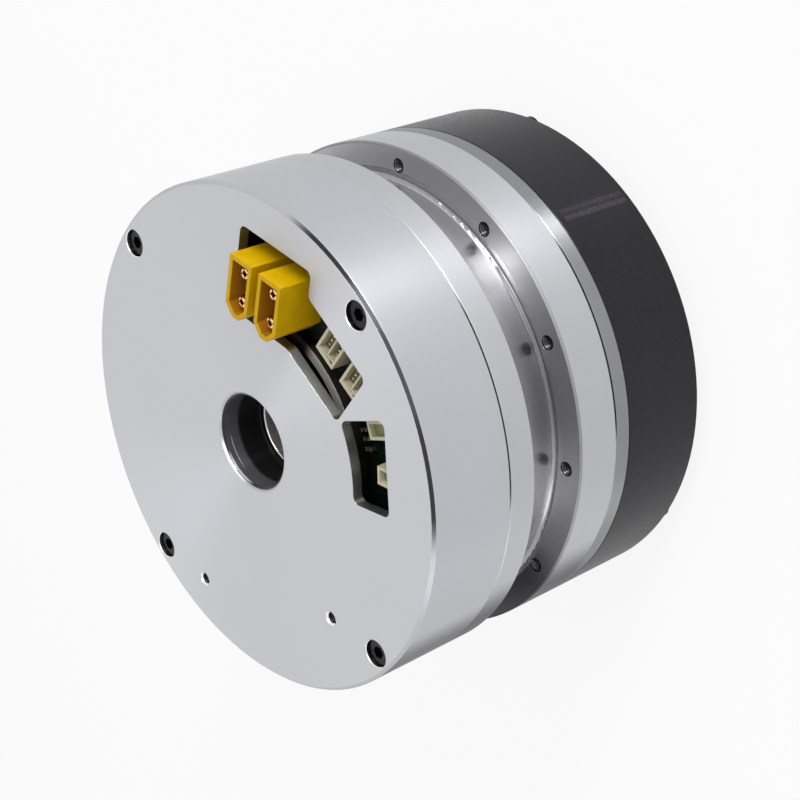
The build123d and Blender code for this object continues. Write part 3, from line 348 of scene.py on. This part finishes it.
# Output seal: a moulded lip seal of black rubber, pressed into the shell in front of the output bearing.
# It keeps the grease in, and its lip runs on the output flange.
def moulded(name, colour, shade, roughness, size=900.0, gloss=0.5):
    """A moulded rubber or plastic, with coarser grain and faint mottling."""
    return finish(name, colour, shade, roughness, spread=0.1, size=size, clouds=120.0, relief=0.000008,
                  metallic=0.0, gloss=gloss, edge=0.00015)


seal_rubber = moulded("seal_rubber", (0.022, 0.022, 0.023), (0.014, 0.014, 0.015), 0.6)
seal_rubber.node_tree.nodes["Principled BSDF"].inputs["Sheen Weight"].default_value = 0.1
dress("output_seal", seal_rubber)


# Output flange, planet carrier and rotor hub: the flange is turned aluminium, the carrier behind it and the
# hub are turned steel. The planets' ground pins are pressed into the carrier.
turned_aluminium = finish("turned_aluminium", (0.66, 0.66, 0.68), (0.56, 0.56, 0.58), 0.30, relief=0.000006,
                          turned=1.0, anisotropy=0.5)
machined_steel = finish("machined_steel", (0.50, 0.50, 0.51), (0.40, 0.40, 0.41), 0.32, turned=0.8)
dress("output_flange", turned_aluminium)
dress("planet_carrier", machined_steel)
dress("rotor_hub", machined_steel)
dress("planet_pins", ground_steel)


# Gear train: the planets and the rotor shaft, which carries the sun teeth, are case-hardened steel with
# honed flanks. The planets turn on pressed-in bushes of sintered bronze.
gear_steel = finish("gear_steel", (0.44, 0.43, 0.42), (0.34, 0.33, 0.33), 0.28)
bush_bronze = finish("bush_bronze", (0.60, 0.42, 0.20), (0.45, 0.30, 0.13), 0.40)
for planet in (1, 2, 3):
    dress(f"planet_gear_{planet}", gear_steel)
    dress(f"planet_bush_{planet}", bush_bronze)
dress("rotor_shaft", gear_steel)


# Ring gear: its flange is a polished bright ring, clamped between the body and the black shell. Polishing
# leaves only the faintest tool marks. The seam with the shell is a dark line all round; the seam with the
# body is painted dark as shade on the side towards the view, and the ring's lower side is painted darker.
polished_steel = finish("polished_steel", (0.345, 0.35, 0.365), (0.305, 0.31, 0.325), 0.36, spread=0.06,
                        relief=0.000001, turned=0.25, anisotropy=1.0)
ring_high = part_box("ring_gear")[1].z
ring_seam_shade_side = (23, 18, 25)
painted_seam_shade = 0.08
ring_lower_shade_side = (-52, 8, 20)
# Painted shade: the seam with the body is dark on the side towards the view, and the lower side is darker.
refinish_or_paint_light(polished_steel, skin, (ring_high - 0.00010, ring_high + hair), painted_seam_shade, 0.2, side=ring_seam_shade_side)
refinish_or_paint_light(polished_steel, skin, (0, ring_high), 0.5, side=ring_lower_shade_side)
refinish_or_paint_light(polished_steel, skin, (ring_high - 0.0031, ring_high - 0.00285), 0.10, 0.2)
dress("ring_gear", polished_steel)


# Motor housing: turned from aluminium bar and clear anodised. The outside is satin, the neck in the groove
# is finer and brighter, and the flange face with the twelve tapped holes is darker from its facing cut.
satin_aluminium = finish("satin_aluminium", (0.58, 0.585, 0.61), (0.54, 0.545, 0.57), 0.44, size=2200.0,
                         relief=0.000002, turned=0.5, anisotropy=0.7)
housing_low, housing_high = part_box("motor_housing")
flange_top = housing_low.z + 0.0084
neck_edge = 0.0385
flange_face_edge = 0.0424
neck = (0, neck_edge)
flange_face = (flange_top - hair, flange_top + hair)
refinish_or_paint_light(satin_aluminium, neck, (flange_top - 0.001, beyond), 0.94, -0.21)
refinish_or_paint_light(satin_aluminium, (neck_edge - 0.0015, flange_face_edge), flange_face, (0.79, 0.78, 0.76), -0.05)
# Painted shade inside the tapped holes, and on the broken edge of the flange, where little light comes back.
refinish_or_paint_light(satin_aluminium, (0.0378, 0.0412), (flange_top - 0.006, flange_top - 0.0001), 0.12, 0.1)
refinish_or_paint_light(satin_aluminium, (0.0421, 0.05), (flange_top - 0.0004, flange_top + 0.0001), 0.6, 0.1)
# The seams with the rear cover and with the polished ring, painted dark as shade on the side towards the
# view.
rear_seam_shade_side = (18, 18, 25)
refinish_or_paint_light(satin_aluminium, skin, (housing_high.z - 0.00010, beyond), painted_seam_shade, 0.1, side=rear_seam_shade_side)
refinish_or_paint_light(satin_aluminium, skin, (housing_low.z, housing_low.z + 0.00034), painted_seam_shade, 0.1,
         side=ring_seam_shade_side)
# Painted reflections of the studio on bright metal: soft dark bands of painted shade, held at their places
# round the axis, on the lower side, on the side of the neck and face towards the view, and at the foot of the
# neck all the way round.
refinish_or_paint_light(satin_aluminium, (neck_edge, 0.05), (0, beyond), (0.22, 0.22, 0.23), side=(-55, 14, 30))
refinish_or_paint_light(satin_aluminium, (neck_edge, flange_face_edge), flange_face, (0.7, 0.7, 0.72), side=(-50, 15, 36))
refinish_or_paint_light(satin_aluminium, neck, (flange_top + 0.0001, beyond), (0.50, 0.50, 0.51), side=(17, 5, 23))
refinish_or_paint_light(satin_aluminium, neck, (flange_top + 0.00006, beyond), (0.84, 0.84, 0.83), side=(48, 2, 9))
refinish_or_paint_light(satin_aluminium, (neck_edge, flange_face_edge), flange_face, (0.92, 0.90, 0.92), side=(14, 5, 20))
neck_foot_shade = (flange_top + 0.00006, flange_top + 0.0014)
refinish_or_paint_light(satin_aluminium, (0.0371, neck_edge), neck_foot_shade, (0.62, 0.62, 0.61))
dress("motor_housing", satin_aluminium)


# Threads of the twelve tapped holes in the housing's flange: M3, cut into the aluminium, first at 25 degrees
# from +X. They show as fine turns in the mouths of the holes, painted darker than the face as shade in the
# holes.
def wound_thread(name, spots, top, bottom, core, pitch, body, paint):
    """Inward ridges on the walls of tapped holes, wound as one helix down each hole."""
    steps = 20
    ridge = pitch * 0.32
    half_ridge = 0.45
    bed = 0.00001
    count = int(abs(top - bottom) / pitch * steps)
    points, faces = [], []
    for x, y in spots:
        start = len(points)
        for k in range(count + 1):
            angle = 2 * math.pi * k / steps
            z = top + (bottom - top) * k / count
            for inward, lift in ((0.0, -half_ridge), (ridge, 0.0), (0.0, half_ridge)):
                r = core + bed - inward
                points.append((x + r * math.cos(angle), y + r * math.sin(angle), z + lift * pitch))
        for k in range(count):
            a = start + 3 * k
            faces.append((a, a + 1, a + 4, a + 3))
            faces.append((a + 1, a + 2, a + 5, a + 4))
    piece = mesh_piece(name, points, faces, paint)
    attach(piece, body)


def hole_circle(radius, first, count):
    """The middles of evenly spaced holes on a circle about the axis, the first at that angle in degrees."""
    angles = [math.radians(first + 360 // count * k) for k in range(count)]
    return [(radius * math.cos(a), radius * math.sin(a)) for a in angles]


m3_core, m3_pitch = 0.00125, 0.0005
shaded_cut_thread = finish("shaded_cut_thread", (0.14, 0.14, 0.14), (0.07, 0.07, 0.07), 0.30)
wound_thread("body_threads", hole_circle(0.0395, 25, 12), flange_top - 0.0003, flange_top - 0.0040, m3_core,
             m3_pitch, "housing", shaded_cut_thread)


# Output threads: six M4 holes tapped in the output flange, first at 30 degrees from +X. They take the
# screws of the arm that the joint carries.
# Their turns are painted dark as shade, as in the housing's holes.
wound_thread("output_threads", hole_circle(0.025, 30, 6), 0.0004, 0.0046, 0.00165, 0.0007, "output",
             shaded_cut_thread)


# Stator: a varnished stack of thin steel sheets, pressed into the housing, with a coil of enamelled wire
# round each tooth. Three bare copper tabs bring the phases out.
lamination = finish("lamination_steel", (0.20, 0.20, 0.22), (0.12, 0.12, 0.13), 0.45, turned=2.0)
enamel_copper = finish("enamelled_copper", (0.50, 0.18, 0.06), (0.36, 0.11, 0.03), 0.30)
bare_copper = finish("bare_copper", (0.66, 0.34, 0.20), (0.52, 0.24, 0.13), 0.30)
dress("stator_core", lamination)
dress("stator_windings", enamel_copper)
dress("phase_terminals", bare_copper)


# Rotor magnets and encoder magnets: nickel-plated blocks glued to the steel hub inside the stator, and two
# moulded rings of dark ferrite that the encoder's sensors read, one on the rotor and one on the output.
nickel = finish("nickel_plate", (0.62, 0.59, 0.54), (0.54, 0.51, 0.47), 0.22)
ferrite = finish("ferrite", (0.08, 0.08, 0.085), (0.05, 0.05, 0.055), 0.5, metallic=0.3)
dress("rotor_magnets", nickel)
dress("rotor_encoder_magnet", ferrite)
dress("output_encoder_magnet", ferrite)


# Rear bracket: turned aluminium, screwed into the housing to hold the rear bearing and the boards. Through
# the large window, the top of its round wall is painted brighter as a highlight on a curved edge, and the
# rest is painted dark as shade, darkest on one side.
bracket_aluminium = finish("bracket_aluminium", (0.60, 0.57, 0.55), (0.48, 0.46, 0.43), 0.26, turned=0.8,
                           metallic=0.6)
wall_inner, wall_outer, bracket_edge = 0.019, 0.022, 0.039
wall_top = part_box("rear_bracket")[1].z
# Painted highlight on the top of the wall; painted shade below it and on one side.
refinish_or_paint_light(bracket_aluminium, (wall_inner, wall_outer), (wall_top - hair, beyond), (1.3, 1.25, 1.22), 0.4)
refinish_or_paint_light(bracket_aluminium, (0.0212, bracket_edge), (0, wall_top - hair), 0.10, 0.1)
refinish_or_paint_light(bracket_aluminium, (wall_inner, bracket_edge), (0, beyond), 0.05, 0.1, side=(78, 18, 26))
dress("rear_bracket", bracket_aluminium)


# Boards: round plates of glass fibre under a dark green mask, on turned brass standoffs. Copper tracks show
# as slightly raised, lighter lines. Moulded black chips and bare aluminium cans are soldered on.
mask_green = bpy.data.materials.new("board_mask")
mask_green.use_nodes = True
mask_tree = mask_green.node_tree
mask_shader = mask_tree.nodes["Principled BSDF"]
mask_place = put(mask_tree, "ShaderNodeTexCoord").outputs["Object"]
tracks = put(mask_tree, "ShaderNodeTexBrick", {"offset": 0.5}, Vector=mask_place, Scale=260.0,
             Mortar_Size=0.035, Color1=(0.0012, 0.004, 0.0025, 1), Color2=(0.0015, 0.005, 0.003, 1),
             Mortar=(0.002, 0.011, 0.005, 1))
track_bump = put(mask_tree, "ShaderNodeBump", Strength=0.6, Distance=0.00003, Height=tracks.outputs["Fac"])
fill(mask_tree, mask_shader.inputs["Base Color"], tracks.outputs["Color"])
fill(mask_tree, mask_shader.inputs["Normal"], track_bump.outputs[0])
mask_shader.inputs["Roughness"].default_value = 0.35
mask_shader.inputs["Specular IOR Level"].default_value = 0.25
dress("driver_board", mask_green)
dress("encoder_board", mask_green)
chip_black = moulded("chip_black", (0.030, 0.030, 0.032), (0.020, 0.020, 0.021), 0.55)
can_aluminium = finish("can_aluminium", (0.70, 0.70, 0.72), (0.62, 0.62, 0.64), 0.24)
standoff_brass = finish("standoff_brass", (0.66, 0.50, 0.22), (0.52, 0.38, 0.15), 0.28)
dress("encoder_sensors", chip_black)
dress("power_transistors", chip_black)
dress("capacitors", can_aluminium)
dress("board_standoffs", standoff_brass)


# Screws: steel cap screws of common sizes. Those of the shell, carrier, bracket, encoder and cover are black
# oxide, those of the driver board are bright zinc.
black_oxide = finish("black_oxide", (0.018, 0.018, 0.020), (0.008, 0.008, 0.009), 0.26, spread=0.1,
                     size=1800.0, metallic=0.8)
zinc = finish("zinc_plate", (0.60, 0.61, 0.62), (0.50, 0.50, 0.52), 0.28)
for node in ("gearbox_screws", "carrier_screws", "bracket_screws", "encoder_screws", "cover_screws"):
    dress(node, black_oxide)
dress("board_screws", zinc)


# Power connectors: two moulded shells of amber-yellow nylon, soldered to the board, that stand out of the
# large window. Their wells are lined with thin walls and a floor painted deep orange as shade, because little
# light comes back out of them.
yellow_nylon = moulded("yellow_nylon", (0.72, 0.445, 0.0003), (0.60, 0.34, 0.0003), 0.45, size=500.0,
                       gloss=0.14)
well_shade_nylon = moulded("well_shade_nylon", (0.46, 0.19, 0.002), (0.36, 0.14, 0.001), 0.5, size=500.0)
dress("power_connectors", yellow_nylon)
power_angle = math.radians(74.5)
power_out = 0.0279
power_alongs = (-0.00285, 0.00405)
power_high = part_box("power_connectors")[1].z
well_mouth = power_high - 0.0001
well_foot = power_high - 0.00645
half_length, half_width, corner_cut = 0.00433, 0.00183, 0.00134


def face_point(angle, out, along, z):
    """A point over the rear face, in a frame that looks outwards from the axis."""
    x = out * math.cos(angle) + along * math.sin(angle)
    y = out * math.sin(angle) - along * math.cos(angle)
    return (x, y, z)


well_corners = [
    (-half_length, corner_cut - half_width),
    (corner_cut - half_length, -half_width),
    (half_length, -half_width),
    (half_length, half_width),
    (corner_cut - half_length, half_width),
    (-half_length, half_width - corner_cut),
]
sides = len(well_corners)
points, faces = [], []
for along in power_alongs:
    start = len(points)
    for z in (well_mouth, well_foot):
        points += [face_point(power_angle, power_out + out, along + side, z) for out, side in well_corners]
    for k in range(sides):
        after = (k + 1) % sides
        faces.append((start + k, start + after, start + sides + after, start + sides + k))
    faces.append(tuple(range(start + sides, start + 2 * sides)))
well_lining = mesh_piece("connector_well_shade", points, faces, well_shade_nylon, smooth=False)
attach(well_lining, "housing")


# Power pins: turned brass with a thin gold plate, pressed into the connectors. Two crossed slots split each
# end into four sprung tines round a small hollow, and their tips are rounded off.
pin_gold = finish("pin_gold", (0.86, 0.60, 0.42), (0.70, 0.44, 0.28), 0.18)
pin_low, pin_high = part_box("power_pins")
pin_places = [(along, side) for along in power_alongs for side in (-0.0025, 0.0025)]
stem = 0.0009
stem_sides = 28
slot_foot = pin_high.z - 0.0035
hollow = 0.0005
half_slot = math.radians(9)
tine_rings = [(slot_foot, 0.00090), (pin_high.z - 0.0022, 0.0010), (pin_high.z - 0.0009, 0.0010),
              (pin_high.z - 0.0003, 0.00097), (pin_high.z, 0.00084)]
tine_arc = math.pi / 2 - 2 * half_slot
tine_points = 7
ring_points = 2 * tine_points
points, faces = [], []
for along, side in pin_places:
    x, y, _ = face_point(power_angle, power_out + side, along, 0)
    start = len(points)
    for k in range(stem_sides):
        a = 2 * math.pi * k / stem_sides
        for z in (pin_low.z, slot_foot):
            points.append((x + stem * math.cos(a), y + stem * math.sin(a), z))
    for k in range(stem_sides):
        here, after = start + 2 * k, start + 2 * ((k + 1) % stem_sides)
        faces.append((here, after, after + 1, here + 1))
    faces.append(tuple(start + 2 * k + 1 for k in range(stem_sides)))
    for quarter in range(4):
        start = len(points)
        low = quarter * math.pi / 2 + half_slot
        for z, outside in tine_rings:
            for radius in (outside, hollow):
                for k in range(tine_points):
                    a = low + tine_arc * k / (tine_points - 1)
                    points.append((x + radius * math.cos(a), y + radius * math.sin(a), z))
        for ring in range(len(tine_rings) - 1):
            outer = start + ring_points * ring
            inner = outer + tine_points
            for k in range(tine_points - 1):
                faces.append((outer + k, outer + k + 1, outer + ring_points + k + 1, outer + ring_points + k))
                faces.append((inner + k + 1, inner + k, inner + ring_points + k, inner + ring_points + k + 1))
            for k in (0, tine_points - 1):
                faces.append((outer + k, inner + k, inner + ring_points + k, outer + ring_points + k))
        outer = start + ring_points * (len(tine_rings) - 1)
        inner = outer + tine_points
        for k in range(tine_points - 1):
            faces.append((outer + k, outer + k + 1, inner + k + 1, inner + k))
pins = mesh_piece("split_pins", points, faces, pin_gold)
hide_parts("power_pins")
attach(pins, "housing")


# Signal sockets: cream nylon boxes soldered to the board, open towards the windows. Each has a thick inner
# end, a keyway beside it, a partition and a row of tin-plated blades; the keyway and the hollows between are
# filled with blocks painted dark as shade.
def blocks(name, spots, sizes, paint):
    """Square-edged blocks, each (out, out, along, along, low, high), set out from every spot."""
    points, faces = [], []
    for angle, out, along in spots:
        for out_a, out_b, along_a, along_b, low, high in sizes:
            start = len(points)
            for z in (low, high):
                for o, t in ((out_a, along_a), (out_b, along_a), (out_b, along_b), (out_a, along_b)):
                    points.append(face_point(angle, out + o, along + t, z))
            for sides in ((3, 2, 1, 0), (4, 5, 6, 7), (0, 1, 5, 4), (1, 2, 6, 5), (2, 3, 7, 6), (3, 0, 4, 7)):
                faces.append(tuple(start + k for k in sides))
    piece = mesh_piece(name, points, faces, paint, smooth=False)
    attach(piece, "housing")


cream_nylon = moulded("cream_nylon", (0.66, 0.62, 0.46), (0.52, 0.47, 0.32), 0.45, size=500.0)
shaded_nylon = moulded("shaded_nylon", (0.20, 0.16, 0.08), (0.13, 0.10, 0.045), 0.5, size=500.0)
green_shade = moulded("green_shade", (0.26, 0.29, 0.13), (0.20, 0.22, 0.09), 0.5, size=500.0)
keyway_shade = moulded("keyway_shade", (0.012, 0.012, 0.010), (0.008, 0.008, 0.007), 0.6)
tin = finish("tin_plate", (0.62, 0.58, 0.50), (0.46, 0.42, 0.34), 0.24)
dress("signal_sockets", cream_nylon)
dress("encoder_sockets", cream_nylon)
socket_low, socket_high = (corner.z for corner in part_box("signal_sockets"))
well_floor = socket_low + 0.0009
blade = 0.0003
signal_spots = [(math.radians(49.7), 0.02785, along) for along in (0.0015, 0.0081)]
encoder_spots = [(math.radians(14.7), 0.0307, -0.0019), (math.radians(-2.6), 0.0307, -0.0035)]
blocks("socket_partitions", signal_spots, [
    (-0.00155, 0.00225, 0.00005, 0.00035, well_floor, socket_high - 0.0001),
    (-0.00185, -0.00155, 0.00005, 0.00175, well_floor, socket_high - 0.0001),
    (-0.00225, -0.00200, -0.00175, 0.00110, well_floor, socket_high),
], cream_nylon)
blocks("socket_shade", signal_spots, [
    (-0.00198, 0.00222, -0.00172, 0.00003, well_floor, socket_high - 0.0013),
    (-0.00153, 0.00222, 0.00037, 0.00172, well_floor, socket_high - 0.0018),
], shaded_nylon)
blocks("socket_keyway_shade", signal_spots, [
    (-0.00225, -0.00190, 0.00120, 0.00172, well_floor, socket_high - 0.0002),
], keyway_shade)
blocks("socket_blades", signal_spots, [
    (out, out + blade, along, along + blade, well_floor, socket_high - 0.0009)
    for out in (-0.0010, 0.0, 0.0010) for along in (-0.0011, 0.0009)
], tin)
# The encoder sockets' hollows are filled with a greenish block of painted shade.
blocks("encoder_socket_shade", encoder_spots, [
    (-0.00190, 0.00190, -0.00095, 0.00095, well_floor, socket_high - 0.0009),
], green_shade)
blocks("encoder_socket_blades", encoder_spots, [
    (out, out + blade, -blade / 2, blade / 2, well_floor, socket_high - 0.0011)
    for out in (-0.0012, -0.0002, 0.0008)
], tin)


# Small parts on the driver board: fired ceramic capacitors and resistors with tinned ends, soldered on in
# short rows. Four more sit by the small window, where they can be seen.
ceramic = moulded("ceramic", (0.10, 0.09, 0.08), (0.07, 0.06, 0.05), 0.5)
board_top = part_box("driver_board")[1].z
row_start, row_step = 0.0255, 0.0027
behind_sockets = (-12, 95)
random.seed(7)
small_parts = []
for row_angle in range(-170, 180, 20):
    if behind_sockets[0] < row_angle < behind_sockets[1]:
        continue
    for step in range(4):
        turned_a_little = math.radians(row_angle + random.uniform(-3, 3))
        small_parts.append((turned_a_little, row_start + row_step * step, 0.0))
by_small_window = ((17.2, 0.0233), (13.6, 0.0234), (9.6, 0.0234), (31.0, 0.0262))
small_parts += [(math.radians(angle), out, 0.0) for angle, out in by_small_window]
blocks("ceramic_bodies", small_parts, [
    (-0.0005, 0.0005, -0.0003, 0.0003, board_top, board_top + 0.00050),
], ceramic)
blocks("tinned_ends", small_parts, [
    (-0.0007, -0.00045, -0.00031, 0.00031, board_top, board_top + 0.00053),
    (0.00045, 0.0007, -0.00031, 0.00031, board_top, board_top + 0.00053),
], tin)


# Through tube: drawn steel, fixed to the output and turning with it. Its end shows deep in the bore, with a
# rounded lead-in that is polished bright so that cables slide over it.
tube_steel = finish("tube_steel", (0.46, 0.42, 0.41), (0.36, 0.32, 0.31), 0.25, turned=0.6, metallic=0.3)
bright_steel = finish("bright_steel", (0.80, 0.79, 0.78), (0.70, 0.69, 0.68), 0.14)
tube_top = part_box("through_tube")[1].z
# Painted highlight: the tube's end face is tinted brighter.
refinish_or_paint_light(tube_steel, (0, 0.0076), (tube_top - hair, beyond), 1.8, 0.2)
dress("through_tube", tube_steel)
wall_middle, wall_half, crown = 0.0072, 0.00029, 0.00026
around, across = 96, 10
points, faces = [], []
for k in range(around):
    a = 2 * math.pi * k / around
    for j in range(across + 1):
        lean = math.pi * j / across
        radius = wall_middle - wall_half * math.cos(lean)
        z = tube_top - 0.00002 + crown * math.sin(lean)
        points.append((radius * math.cos(a), radius * math.sin(a), z))
for k in range(around):
    for j in range(across):
        here = k * (across + 1) + j
        after = (k + 1) % around * (across + 1) + j
        faces.append((here, after, after + 1, here + 1))
lead_in = mesh_piece("tube_lead_in", points, faces, bright_steel)
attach(lead_in, "output")


# Bore sleeve: a glossy black lining, pressed into the rear cover and staying with it. Painted highlights put
# a bright crescent on one side of its rounded lip and a thin line below it, and a grey band of painted sheen
# runs down to about 3 mm.
gloss_black = finish("gloss_black", (0.0105, 0.0105, 0.011), (0.008, 0.008, 0.0085), 0.24, spread=0.02,
                     size=900.0, relief=0.0000002, turned=0.5, metallic=0.0, gloss=0.35, anisotropy=0.9)
sleeve_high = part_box("bore_sleeve")[1].z
lip_foot = sleeve_high - 0.00026
lining = (0, 0.0079)
# Painted highlights on the lip and on a thin line below it, then a band of painted sheen.
refinish_or_paint_light(gloss_black, (0, 0.0090), (lip_foot, sleeve_high - 0.00001), (60.0, 60.0, 55.0), -0.1,
         side=(235, 10, 30))
refinish_or_paint_light(gloss_black, lining, (sleeve_high - 0.00134, sleeve_high - 0.00122), 8.0, side=(212, 10, 25))
for sheen_band_depth in (0.0033, 0.0031, 0.0029):
    refinish_or_paint_light(gloss_black, lining, (sleeve_high - sheen_band_depth, lip_foot), 2.1, 0.05)
dress("bore_sleeve", gloss_black)


# Rear cover: a turned aluminium cup with milled windows, bead-blasted and clear anodised to an even pale
# grey with a fine sparkle. Four screws hold it to the housing, and its outer edge has a small chamfer.
blasted = finish("blasted_aluminium", (0.53, 0.535, 0.56), (0.49, 0.495, 0.52), 0.44, spread=0.06,
                 size=5200.0, relief=0.000003, edge=0.00015, anisotropy=0.7)
cover_low, cover_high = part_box("rear_cover")
chamfer = 0.0005
chamfer_start = cover_high.x - chamfer
edge_level = cover_high.z - chamfer
under_top = cover_high.z - 0.00002
bore_edge = 0.0094
recess_inner = 0.0368
refinish_or_paint_light(blasted, (cover_high.x - hair, 0.05), (0, edge_level), 1.12, -0.06)
# Painted shade: the chamfer is a dark line on the side towards the view, and so is the seam with the housing,
# which is also a thin dark line all round. The lower side is painted darker as shade, and the bore's edge has
# a painted highlight on one side.
refinish_or_paint_light(blasted, (chamfer_start, 0.05), (edge_level, under_top), (0.09, 0.09, 0.10), -0.24,
         side=(32, 31, 41))
refinish_or_paint_light(blasted, skin, (0, cover_low.z + 0.00028), painted_seam_shade, 0.1, side=rear_seam_shade_side)
refinish_or_paint_light(blasted, skin, (0, cover_low.z + 0.00006), 0.55, 0.1)
refinish_or_paint_light(blasted, skin, (0, edge_level), (0.20, 0.20, 0.21), side=(-56, 11, 26))
refinish_or_paint_light(blasted, (0, bore_edge), (cover_high.z - 0.002, under_top), 1.8, -0.3, side=(222, 18, 34))
# Walls below the top face: the screw recesses and the small holes are painted dark as shade, the windows
# almost as the face.
refinish_or_paint_light(blasted, (recess_inner, 0.0419), (0, under_top), 0.18)
refinish_or_paint_light(blasted, (0.0100, recess_inner), (0, under_top), 0.10, side=(-87, 60, 68))
refinish_or_paint_light(blasted, (bore_edge, 0.0400), (0, under_top), (0.92, 0.93, 0.84), -0.12)
dress("rear_cover", blasted)


# Accessory holes: two M3 threads tapped through the face of the rear cover, on the side away from the
# sockets. The turns are cut in the aluminium and painted almost black, as shade so deep in a small hole.
accessory_holes = [(-0.0168, -0.0306), (0.0173, -0.0255)]
deep_shaded_thread = finish("deep_shaded_thread", (0.05, 0.05, 0.05), (0.02, 0.02, 0.02), 0.35)
wound_thread("accessory_threads", accessory_holes, cover_high.z - 0.0006, cover_high.z - 0.0046, m3_core,
             m3_pitch, "housing", deep_shaded_thread)


# Mouths of the two accessory holes and of the four screw recesses: each has a narrow bright lip, where its
# edge was broken with a countersink after blasting.
bright_cut = finish("bright_cut", (0.86, 0.86, 0.87), (0.78, 0.78, 0.79), 0.22, edge=0.00002)
recess_radius, recess_lip, hole_lip = 0.00240, 0.00013, 0.00030
top_gap = 0.00002
mouth_sides = 48
mouths = [(x, y, m3_core, hole_lip) for x, y in accessory_holes]
mouths += [(x, y, recess_radius, recess_lip) for x, y in hole_circle(0.0393, 45, 4)]
points, faces = [], []
for x, y, radius, lip in mouths:
    start = len(points)
    for k in range(mouth_sides):
        a = 2 * math.pi * k / mouth_sides
        for r, drop in ((radius, top_gap), (radius - lip, top_gap + lip)):
            points.append((x + r * math.cos(a), y + r * math.sin(a), cover_high.z - drop))
    for k in range(mouth_sides):
        here, after = start + 2 * k, start + 2 * ((k + 1) % mouth_sides)
        faces.append((here, here + 1, after + 1, after))
lips = mesh_piece("mouth_lips", points, faces, bright_cut)
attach(lips, "housing")
